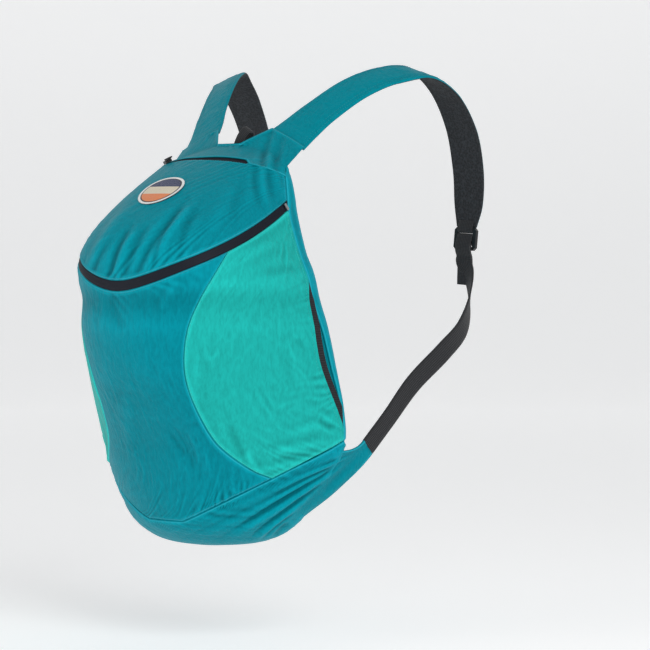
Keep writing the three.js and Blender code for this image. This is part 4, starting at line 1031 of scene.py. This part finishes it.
def yoke():
    neck_share, strap_share = 0.18, 0.46
    lap, edge_inset = 0.125, 0.4
    centre, along, across, half = (part[0] for part in strap_frames(np.array([lap])))
    inner, outer = centre - across * (half - edge_inset), centre + across * (half - edge_inset)
    strap_out = np.cross(across, along)
    neck_y = (all_rings[-1, 0, 1] + all_rings[-1, -1, 1]) / 2
    neck_edge = np.array([neck_width / 2, neck_y, bag_height])
    hem = np.array([0, 0, neck_hem])
    reach = np.linspace(-1, 1, 261)
    f = np.abs(reach)
    rise = (np.maximum(f - neck_share, 0) / (1 - neck_share)) ** 1.1
    place = seam_place(np.ones_like(f), bag_height - (bag_height - armpit_height) * rise)
    ridge = body_points(place[:, 0], place[:, 1])
    ridge[:, 0] = np.maximum(ridge[:, 0], neck_edge[0])
    at_neck = (f <= neck_share)[:, None]
    level_neck = np.stack([neck_edge[0] * f / neck_share, 0 * f + neck_y, 0 * f + bag_height], -1)
    ridge = np.where(at_neck, level_neck, ridge)
    g = np.clip((f - neck_share) / (strap_share - neck_share), 0, 1)[:, None]
    h = np.clip((f - strap_share) / (1 - strap_share), 0, 1)[:, None]
    crown = np.where(h > 0, inner * (1 - h) + outer * h, (neck_edge + hem) * (1 - g) + inner * g)
    crown = crown + strap_out * (strap_crown * (1 - (2 * h - 1) ** 2) + 0.3) * smooth(h / 0.1)
    crown = np.where(at_neck, ridge + hem, crown)
    foot_place = top_zip_lips(reach, 1)
    foot = body_points(np.abs(foot_place[:, 0]), foot_place[:, 1])
    flip = np.stack([np.where(reach < 0, -1.0, 1.0), np.ones_like(f), np.ones_like(f)], -1)
    ridge, crown, foot = ridge * flip, crown * flip, foot * flip
    rows = [foot + (ridge - foot) * t for t in [0, 0.02, 0.05, *np.linspace(0.09, 1, 24)]]
    rows += [ridge + (crown - ridge) * t for t in np.linspace(0, 1, 26)[1:]]
    points = np.array(rows)
    for _ in range(14):
        points[1:-1] = (points[:-2] + 2 * points[1:-1] + points[2:]) / 4
    across_run, up = running(points, 1), running(points, 0)
    tuck, nearest = seam_tuck(points, "lh", depth=0.2)
    relief = 0.7 * crinkles(across_run, up, 131) * smooth(nearest / 8)
    relief += pucker(across_run, up[-1:] - up, 6, 0.5, 8, 133) * smooth(nearest / 4)
    relief += folds(points, [
        (38, 196, 29, 140, -1.0, 4), (44, 194, 36, 138, 0.9, 4), (50, 190, 43, 140, -1.0, 3.5),
        (55, 184, 50, 140, 0.8, 3.5), (24, 176, 2, 166, 0.7, 4),
    ]) * smooth(nearest / 6)
    return raise_net(points, relief + tuck + 0.7), nearest


yoke_net, yoke_seam = yoke()
finish_cloth(net_object("yoke_cloth", yoke_net, seam=yoke_seam), yoke_net, "yoke", nylon_teal)

# Lower webbing: flat black nylon webbing, sewn to the ear's tip, led forward and up and threaded
# through the ladder buckle, with a short free tail. A loop of it holds the buckle to the strap.
webbing_thickness = 1.6
buckle_length = 24.0
buckle_gap = 0.3
webbing_route = table("out forward up face", [
    (1.225, 0.40, 0.269, 0.05), (1.255, 0.65, 0.336, 0.20), (1.285, 1.00, 0.402, 0.35),
    (1.270, 1.25, 0.447, 0.00), (1.205, 1.43, 0.502, -0.60), (1.125, 1.53, 0.560, -1.15),
])

shader, add, mix, finish = new_material("woven_webbing", 0.75)
shader.inputs["Sheen Weight"].default_value = 0.10
where = add("ShaderNodeTexCoord")
warp = add("ShaderNodeTexWave", {"bands_direction": "X"}, Vector=where.outputs["UV"], Scale=150.0)
weft = add("ShaderNodeTexWave", {"bands_direction": "Y"}, Vector=where.outputs["UV"], Scale=210.0)
weave = add("ShaderNodeMath", {"operation": "MULTIPLY"}, i0=warp.outputs["Fac"], i1=weft.outputs["Fac"])
webbing_black = finish(
    mix(weave.outputs[0], srgb(15, 16, 19), srgb(46, 48, 54)),
    add("ShaderNodeBump", Height=weave.outputs[0], Strength=0.7, Distance=0.0006).outputs[0])


def smooth_curve(knots, count):
    """A centripetal curve through knots, and its tangents"""
    knots = np.asarray(knots, float)
    longer = np.vstack([2 * knots[0] - knots[1], knots, 2 * knots[-1] - knots[-2]])
    place = np.linspace(0, len(knots) - 1, count)
    row = np.clip(np.floor(place).astype(int), 0, len(knots) - 2)
    f = (place - row)[:, None]
    p0, p1, p2, p3 = (longer[row + i] for i in range(4))
    d0, d1, d2 = (np.maximum(np.linalg.norm(b - a, axis=1, keepdims=True) ** 0.5, 1e-4)
                  for a, b in ((p0, p1), (p1, p2), (p2, p3)))
    m1 = ((p1 - p0) / d0 - (p2 - p0) / (d0 + d1) + (p2 - p1) / d1) * d1
    m2 = ((p2 - p1) / d1 - (p3 - p1) / (d1 + d2) + (p3 - p2) / d2) * d1
    points = ((2 * f ** 3 - 3 * f ** 2 + 1) * p1 + (f ** 3 - 2 * f ** 2 + f) * m1
              + (-2 * f ** 3 + 3 * f ** 2) * p2 + (f ** 3 - f ** 2) * m2)
    tangents = np.gradient(points, axis=0)
    return points, tangents / np.linalg.norm(tangents, axis=1, keepdims=True)


def band_net(points, across, outwards, width, thickness):
    """Rings round a flat band with soft edges"""
    profile = [(-0.5, -0.3), (-0.485, 0.5), (-0.3, 0.5), (0, 0.5), (0.3, 0.5), (0.485, 0.5),
               (0.5, 0.3), (0.5, -0.3), (0.485, -0.5), (0.3, -0.5), (0, -0.5), (-0.3, -0.5), (-0.485, -0.5)]
    width = np.broadcast_to(width, len(points))[:, None]
    return np.stack([points + across * x * width + outwards * y * thickness for x, y in profile], 1)


def laid_flat(across, runs):
    """Directions across a band and out of its face, where its width keeps to one direction"""
    level = np.broadcast_to(across, runs.shape)
    over = np.cross(level, runs)
    return level, over / np.linalg.norm(over, axis=1, keepdims=True)


strap_end = strap_frames(np.array([float(strap_last)]))
buckle_end, buckle_along, buckle_across, _ = (part[0] for part in strap_end)
buckle_outer = np.cross(buckle_across, buckle_along)
buckle_middle = buckle_end + buckle_along * (buckle_gap + buckle_length / 2)
buckle_middle = buckle_middle - buckle_outer * strap_thickness / 2


def beside_buckle(rows):
    return [buckle_middle + buckle_along * s + buckle_outer * b for s, b in rows]


def webbing_net():
    pull = route_points(webbing_route, np.array([0.0]))[0] - wing_tip
    pull /= np.linalg.norm(pull)
    led = [wing_tip + pull * 0.2, *route_points(webbing_route, np.arange(6.0)),
           *beside_buckle([(24, 0), (19, -0.6)])]
    points, tangents = smooth_curve(led, 240)
    faces = np.concatenate([[webbing_route["face"][0]], webbing_route["face"], [-math.pi / 2] * 2])
    turn = read_table(faces, np.linspace(0, len(faces) - 1, len(points)))
    out = np.stack([np.cos(turn), -np.sin(turn), np.zeros_like(turn)], -1)
    out -= tangents * (out * tangents).sum(1, keepdims=True)
    out /= np.linalg.norm(out, axis=1, keepdims=True)
    threaded, runs = smooth_curve(beside_buckle([
        (17.5, -1.3), (13, -3.8), (9, -4.7), (4, -4.1), (0, -3.0), (-3.4, -2.3), (-4.9, 0), (-3.4, 2.4),
        (0, 3.0), (3.3, 2.4), (4.9, 0), (6.6, -2.3), (10, -3.0), (14, -1.9), (18, 0.6), (24, 2.0),
        (34, 2.8), (48, 4.2),
    ]), 190)
    crosswise = np.cross(tangents, out)
    level, over = laid_flat(crosswise[-1] / np.linalg.norm(crosswise[-1]), runs)
    squeezed = 0.95
    widths = np.concatenate([np.ones(225), np.linspace(1, squeezed, 15), np.full(190, squeezed)])
    widths = widths * webbing_width
    return band_net(np.concatenate([points, threaded]), np.concatenate([crosswise, level]),
                    np.concatenate([out, over]), widths, webbing_thickness)


def buckle_loop_net():
    points, runs = smooth_curve(beside_buckle([
        (-19, 0.9), (-15.5, 2.2), (-12.5, 2.9), (-9.5, 2.9), (-7.4, 2.0), (-6.6, 0), (-7.4, -2.0),
        (-9.5, -2.9), (-12.5, -2.9), (-15.5, -2.2), (-19, -0.9),
    ]), 90)
    return band_net(points, *laid_flat(buckle_across, runs), 19.0, 1.5)


webbing = webbing_net()
buckle_loop = buckle_loop_net()
for side, turned in (("right", False), ("left", True)):
    for name, net, node in ((f"lower_webbing_band_{side}", webbing, f"lower_webbing_{side}"),
                            (f"buckle_loop_{side}", buckle_loop, None)):
        band = tube_object(name, mirrored(net) if turned else net, turned)
        band.data.materials.append(webbing_black)
        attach(band, "root")
        if node:
            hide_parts(node)

# Grab loop: narrow black webbing, doubled and sewn in behind the neck, leaning to the right.
loop_length = 28.0
loop_opening = 10.0
loop_thickness = 1.4
loop_lean = np.array([0.55, 0.1, 0.83]) / np.linalg.norm([0.55, 0.1, 0.83])
loop_across = np.array([0.83, 0, -0.55]) / np.linalg.norm([0.83, 0, -0.55])
loop_apart = np.cross(loop_lean, loop_across)
loop_base = np.array([0, loop_thickness + 0.6, bag_height - 6])
loop_knots = []
for i, (up, side) in enumerate([(-0.35, 0), (0.0, 0), (0.35, 0.36), (0.7, 0.5), (0.94, 0.34), (1.0, 0),
                                (0.94, -0.34), (0.7, -0.5), (0.35, -0.36), (0.0, 0), (-0.35, 0)]):
    way = np.array([0, 0, 1.0]) if up <= 0 else loop_lean
    apart = np.sign(5 - i) * (loop_thickness + 0.3) / 2
    loop_knots.append(loop_base + way * up * loop_length + loop_apart * (side * loop_opening + apart))
loop_points, loop_runs = smooth_curve(loop_knots, 120)
loop_net = band_net(loop_points, *laid_flat(loop_across, loop_runs), 10.0, 1.3)
grab = tube_object("grab_loop_webbing", loop_net, False)
grab.data.materials.append(webbing_black)
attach(grab, "root")
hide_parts("grab_loop")

# Stitching: rows of polyester thread in the nylon's colour beside the zips and seams and along both
# edges of the straps. Each stitch is a short plump thread.


def stitch_tree(material):
    tree = bpy.data.node_groups.new("stitch_row", "GeometryNodeTree")
    face = tree.interface
    face.new_socket("Geometry", in_out="INPUT", socket_type="NodeSocketGeometry")
    for name in ("Stitch pitch", "Stitch length", "Thread width", "Slant"):
        face.new_socket(name, in_out="INPUT", socket_type="NodeSocketFloat")
    face.new_socket("Geometry", in_out="OUTPUT", socket_type="NodeSocketGeometry")
    nodes, links = tree.nodes, tree.links
    given, result = nodes.new("NodeGroupInput"), nodes.new("NodeGroupOutput")
    curve = nodes.new("GeometryNodeMeshToCurve")
    spaced = nodes.new("GeometryNodeResampleCurve")
    spaced.mode = "LENGTH"
    thread = nodes.new("GeometryNodeMeshUVSphere")
    thread.inputs["Segments"].default_value = 6
    thread.inputs["Rings"].default_value = 4
    thread.inputs["Radius"].default_value = 0.5
    size = nodes.new("ShaderNodeCombineXYZ")
    shaped = nodes.new("GeometryNodeTransform")
    tangent = nodes.new("GeometryNodeInputTangent")
    facing = nodes.new("GeometryNodeInputNamedAttribute")
    facing.data_type = "FLOAT_VECTOR"
    facing.inputs["Name"].default_value = "facing"
    upright = nodes.new("FunctionNodeAlignRotationToVector")
    upright.axis = "Z"
    along = nodes.new("FunctionNodeAlignRotationToVector")
    along.axis = "X"
    along.pivot_axis = "Z"
    slanted = nodes.new("FunctionNodeRotateRotation")
    slanted.rotation_space = "LOCAL"
    slant = nodes.new("ShaderNodeCombineXYZ")
    placed = nodes.new("GeometryNodeInstanceOnPoints")
    real = nodes.new("GeometryNodeRealizeInstances")
    coloured = nodes.new("GeometryNodeSetMaterial")
    coloured.inputs["Material"].default_value = material
    links.new(given.outputs["Geometry"], curve.inputs["Mesh"])
    links.new(curve.outputs["Curve"], spaced.inputs["Curve"])
    links.new(given.outputs["Stitch pitch"], spaced.inputs["Length"])
    links.new(given.outputs["Stitch length"], size.inputs["X"])
    links.new(given.outputs["Thread width"], size.inputs["Y"])
    links.new(given.outputs["Thread width"], size.inputs["Z"])
    links.new(thread.outputs["Mesh"], shaped.inputs["Geometry"])
    links.new(size.outputs[0], shaped.inputs["Scale"])
    links.new(facing.outputs["Attribute"], upright.inputs["Vector"])
    links.new(upright.outputs["Rotation"], along.inputs["Rotation"])
    links.new(tangent.outputs["Tangent"], along.inputs["Vector"])
    links.new(given.outputs["Slant"], slant.inputs["Z"])
    links.new(along.outputs["Rotation"], slanted.inputs["Rotation"])
    links.new(slant.outputs[0], slanted.inputs["Rotate By"])
    links.new(spaced.outputs["Curve"], placed.inputs["Points"])
    links.new(shaped.outputs["Geometry"], placed.inputs["Instance"])
    links.new(slanted.outputs["Rotation"], placed.inputs["Rotation"])
    links.new(placed.outputs["Instances"], real.inputs["Geometry"])
    links.new(real.outputs["Geometry"], coloured.inputs["Geometry"])
    links.new(coloured.outputs["Geometry"], result.inputs["Geometry"])
    return tree


def thread_material(name, dark, light):
    shader, add, mix, finish = new_material(name, 0.55)
    where = add("ShaderNodeTexCoord")
    twist = add("ShaderNodeTexNoise", Vector=where.outputs["Object"], Scale=2400.0, Detail=2.0)
    return finish(mix(twist.outputs["Fac"], dark, light),
                  add("ShaderNodeBump", Height=twist.outputs["Fac"], Strength=0.4, Distance=0.0001).outputs[0])


teal_thread = thread_material("teal_thread", srgb(8, 112, 126), srgb(30, 160, 172))
mint_thread = thread_material("mint_thread", srgb(24, 158, 150), srgb(60, 202, 192))
white_thread = thread_material("white_thread", srgb(214, 214, 210), srgb(250, 250, 248))


def stitched(name, lines, material, pitch=3.0, length=2.3, width=0.42, slant=0.0):
    """Rows of stitches as one plain mesh, along lines of points with the cloth's normals"""
    points, edges, normals = [], [], []
    for line, facing in lines:
        edges += [(len(points) + i, len(points) + i + 1) for i in range(len(line) - 1)]
        points += list(line)
        normals += list(facing)
    rail_mesh = bpy.data.meshes.new(name)
    rail_mesh.from_pydata([tuple(p) for p in in_frame(np.array(points))], edges, [])
    facing = rail_mesh.attributes.new("facing", "FLOAT_VECTOR", "POINT")
    facing.data.foreach_set("vector", np.array(normals).ravel())
    rail = bpy.data.objects.new(f"{name}_rail", rail_mesh)
    bpy.context.scene.collection.objects.link(rail)
    tree = stitch_tree(material)
    modifier = rail.modifiers.new("stitches", "NODES")
    modifier.node_group = tree
    sizes = {"Stitch pitch": pitch / 1000, "Stitch length": length / 1000, "Thread width": width / 1000,
             "Slant": slant}
    for item in tree.interface.items_tree:
        if item.in_out == "INPUT" and item.name in sizes:
            modifier[item.identifier] = sizes[item.name]
    made = bpy.data.meshes.new_from_object(rail.evaluated_get(bpy.context.evaluated_depsgraph_get()))
    bpy.data.objects.remove(rail)
    made.name = name
    piece = bpy.data.objects.new(name, made)
    bpy.context.scene.collection.objects.link(piece)
    made.shade_smooth()
    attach(piece, "root")
    return piece


def strap_line(offset, sign):
    """A line on the right strap's face, an offset in from its edge"""
    place = np.linspace(0.12, strap_last - 0.1, 240)
    centre, along, across, half = strap_frames(place)
    outwards = np.cross(across, along)
    x = sign * (half - offset)
    lift = strap_crown * (1 - (x / half) ** 2) - 0.35
    return centre + across * x[:, None] + outwards * lift[:, None], outwards


seams = [inside_edge(front, "h", 2.6), inside_edge(top, "l", 2.6), inside_edge(top, "h", 2.2),
         inside_edge(front, "l", 3.0), inside_edge(yoke_net, "l", 2.4), inside_edge(yoke_net, "h", 2.2)]
stitched("bag_stitches", seams, teal_thread)
pocket_lines = [inside_edge(pocket, "a", 2.6), inside_edge(pocket, "h", 2.6), inside_edge(pocket, "l", 2.6)]
pocket_hem = [inside_edge(pocket, "b", 4.0)]
for side, turn in (("right", np.array([1, 1, 1])), ("left", np.array([-1, 1, 1]))):
    rows = [(line * turn, facing * turn) for line, facing in pocket_lines + pocket_hem]
    stitched(f"pocket_stitches_{side}", rows, mint_thread)
    rows = [strap_line(3.4, 1), strap_line(7.4, 1), strap_line(3.4, -1), strap_line(7.4, -1)]
    rows = [(line * turn, facing * turn) for line, facing in rows]
    stitched(f"strap_stitches_{side}", rows, teal_thread, pitch=2.8, length=2.1)

# Round badge: a stiff woven patch with a satin-stitched face in three plain bands and a merrowed
# white border, sewn flat to the top panel.
patch_forward = 110.0
patch_level = float(np.interp(-patch_forward, all_rings[600:, 0, 1], all_levels[600:]))
patch_slope = np.linalg.norm(body_points(0.0, patch_level + 0.1) - body_points(0.0, patch_level - 0.1)) / 0.2


def patch_net(radii, lift, count):
    turn = np.linspace(0, 2 * math.pi, count, endpoint=False)[None]
    radius = np.asarray(radii)[:, None]
    level = patch_level + radius * np.sin(turn) / patch_slope
    points = body_points(radius * np.cos(turn) / half_girth(level), level)
    centre = points[0].mean(0)
    way = np.cross(points[-1, 0] - centre, points[-1, count // 4] - centre)
    way /= np.linalg.norm(way)
    return points + way * np.asarray(lift)[:, None, None], way, radius * np.cos(turn), radius * np.sin(turn)


shader, add, mix, finish = new_material("embroidered_face", 0.6)
shader.inputs["Sheen Weight"].default_value = 0.15
where = add("ShaderNodeTexCoord")
satin = add("ShaderNodeTexWave", {"bands_direction": "X"}, Vector=where.outputs["UV"], Scale=640.0,
            Distortion=0.6)
across_thread = add("ShaderNodeTexWave", {"bands_direction": "Y"}, Vector=where.outputs["UV"], Scale=90.0,
                    Distortion=3.0)
parts = add("ShaderNodeSeparateXYZ", Vector=where.outputs["UV"])
from_middle = add("ShaderNodeVectorMath", {"operation": "LENGTH"}, i0=where.outputs["UV"])
upper = add("ShaderNodeMath", {"operation": "GREATER_THAN"}, i0=parts.outputs["Y"], i1=0.0055)
lower = add("ShaderNodeMath", {"operation": "LESS_THAN"}, i0=parts.outputs["Y"], i1=-0.0075)
rim = add("ShaderNodeMath", {"operation": "GREATER_THAN"}, i0=from_middle.outputs["Value"], i1=0.0208)
face = mix(upper.outputs[0], srgb(233, 222, 196), srgb(32, 48, 92))
face = mix(lower.outputs[0], face, srgb(240, 138, 78))
face = mix(rim.outputs[0], face, srgb(22, 24, 36))
shade = add("ShaderNodeMapRange", Value=satin.outputs["Fac"], To_Min=0.80, To_Max=1.05)
grey = add("ShaderNodeCombineColor", Red=shade.outputs[0], Green=shade.outputs[0], Blue=shade.outputs[0])
face = mix(1.0, face, grey.outputs[0], "MULTIPLY")
ridges = add("ShaderNodeMath", {"operation": "ADD"}, i0=satin.outputs["Fac"], i1=across_thread.outputs["Fac"])
embroidery = finish(face, add("ShaderNodeBump", Height=ridges.outputs[0], Strength=0.5, Distance=0.0003).outputs[0])

patch_radii = [0.2, 4, 8, 12, 16, 19, 21, 22.6, 23.6, 24.2, 24.6]
patch_lift = [1.9, 1.9, 1.9, 1.85, 1.8, 1.75, 1.7, 1.6, 1.5, 1.2, -0.4]
patch_points, patch_way, patch_across, patch_up = patch_net(patch_radii, patch_lift, 120)
patch = net_object("badge_face", patch_points, around=True, out=False, uv=(patch_across, patch_up))
patch.data.materials.append(embroidery)
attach(patch, "root")
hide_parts("round_patch")
rim_points, _, _, _ = patch_net([0.2, 23.4], [1.5, 1.5], 160)
rim_line = np.concatenate([rim_points[1], rim_points[1, :1]])
stitched("badge_border", [(rim_line, np.broadcast_to(patch_way, rim_line.shape))], white_thread,
         pitch=0.78, length=3.4, width=1.15, slant=math.radians(76))

# Moulded and metal pieces: ladder buckles, zip sliders, their pulls and the zip's stop keep the
# shapes of the frame and take their finishes here.
shader, add, mix, finish = new_material("moulded_black", 0.42)
where = add("ShaderNodeTexCoord")
grain = add("ShaderNodeTexNoise", Vector=where.outputs["Object"], Scale=900.0, Detail=3.0)
moulded = finish(mix(grain.outputs["Fac"], srgb(14, 14, 16), srgb(34, 35, 38)),
                 add("ShaderNodeBump", Height=grain.outputs["Fac"], Strength=0.25, Distance=0.0002).outputs[0])

shader, add, mix, finish = new_material("satin_steel", 0.32)
shader.inputs["Metallic"].default_value = 1.0
where = add("ShaderNodeTexCoord")
brushed = add("ShaderNodeTexNoise", Vector=where.outputs["Object"], Scale=700.0, Detail=2.0)
steel = finish(mix(brushed.outputs["Fac"], (0.45, 0.46, 0.47), (0.72, 0.73, 0.74)),
               add("ShaderNodeBump", Height=brushed.outputs["Fac"], Strength=0.2, Distance=0.0001).outputs[0])

for node, material in (
    ("strap_buckle_right", moulded), ("strap_buckle_left", moulded), ("top_zip_slider", moulded),
    ("front_zip_slider", moulded), ("top_zip_pull", webbing_black), ("front_zip_pull", webbing_black),
    ("front_zip_stop", steel),
):
    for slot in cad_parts[node].material_slots:
        slot.material = material
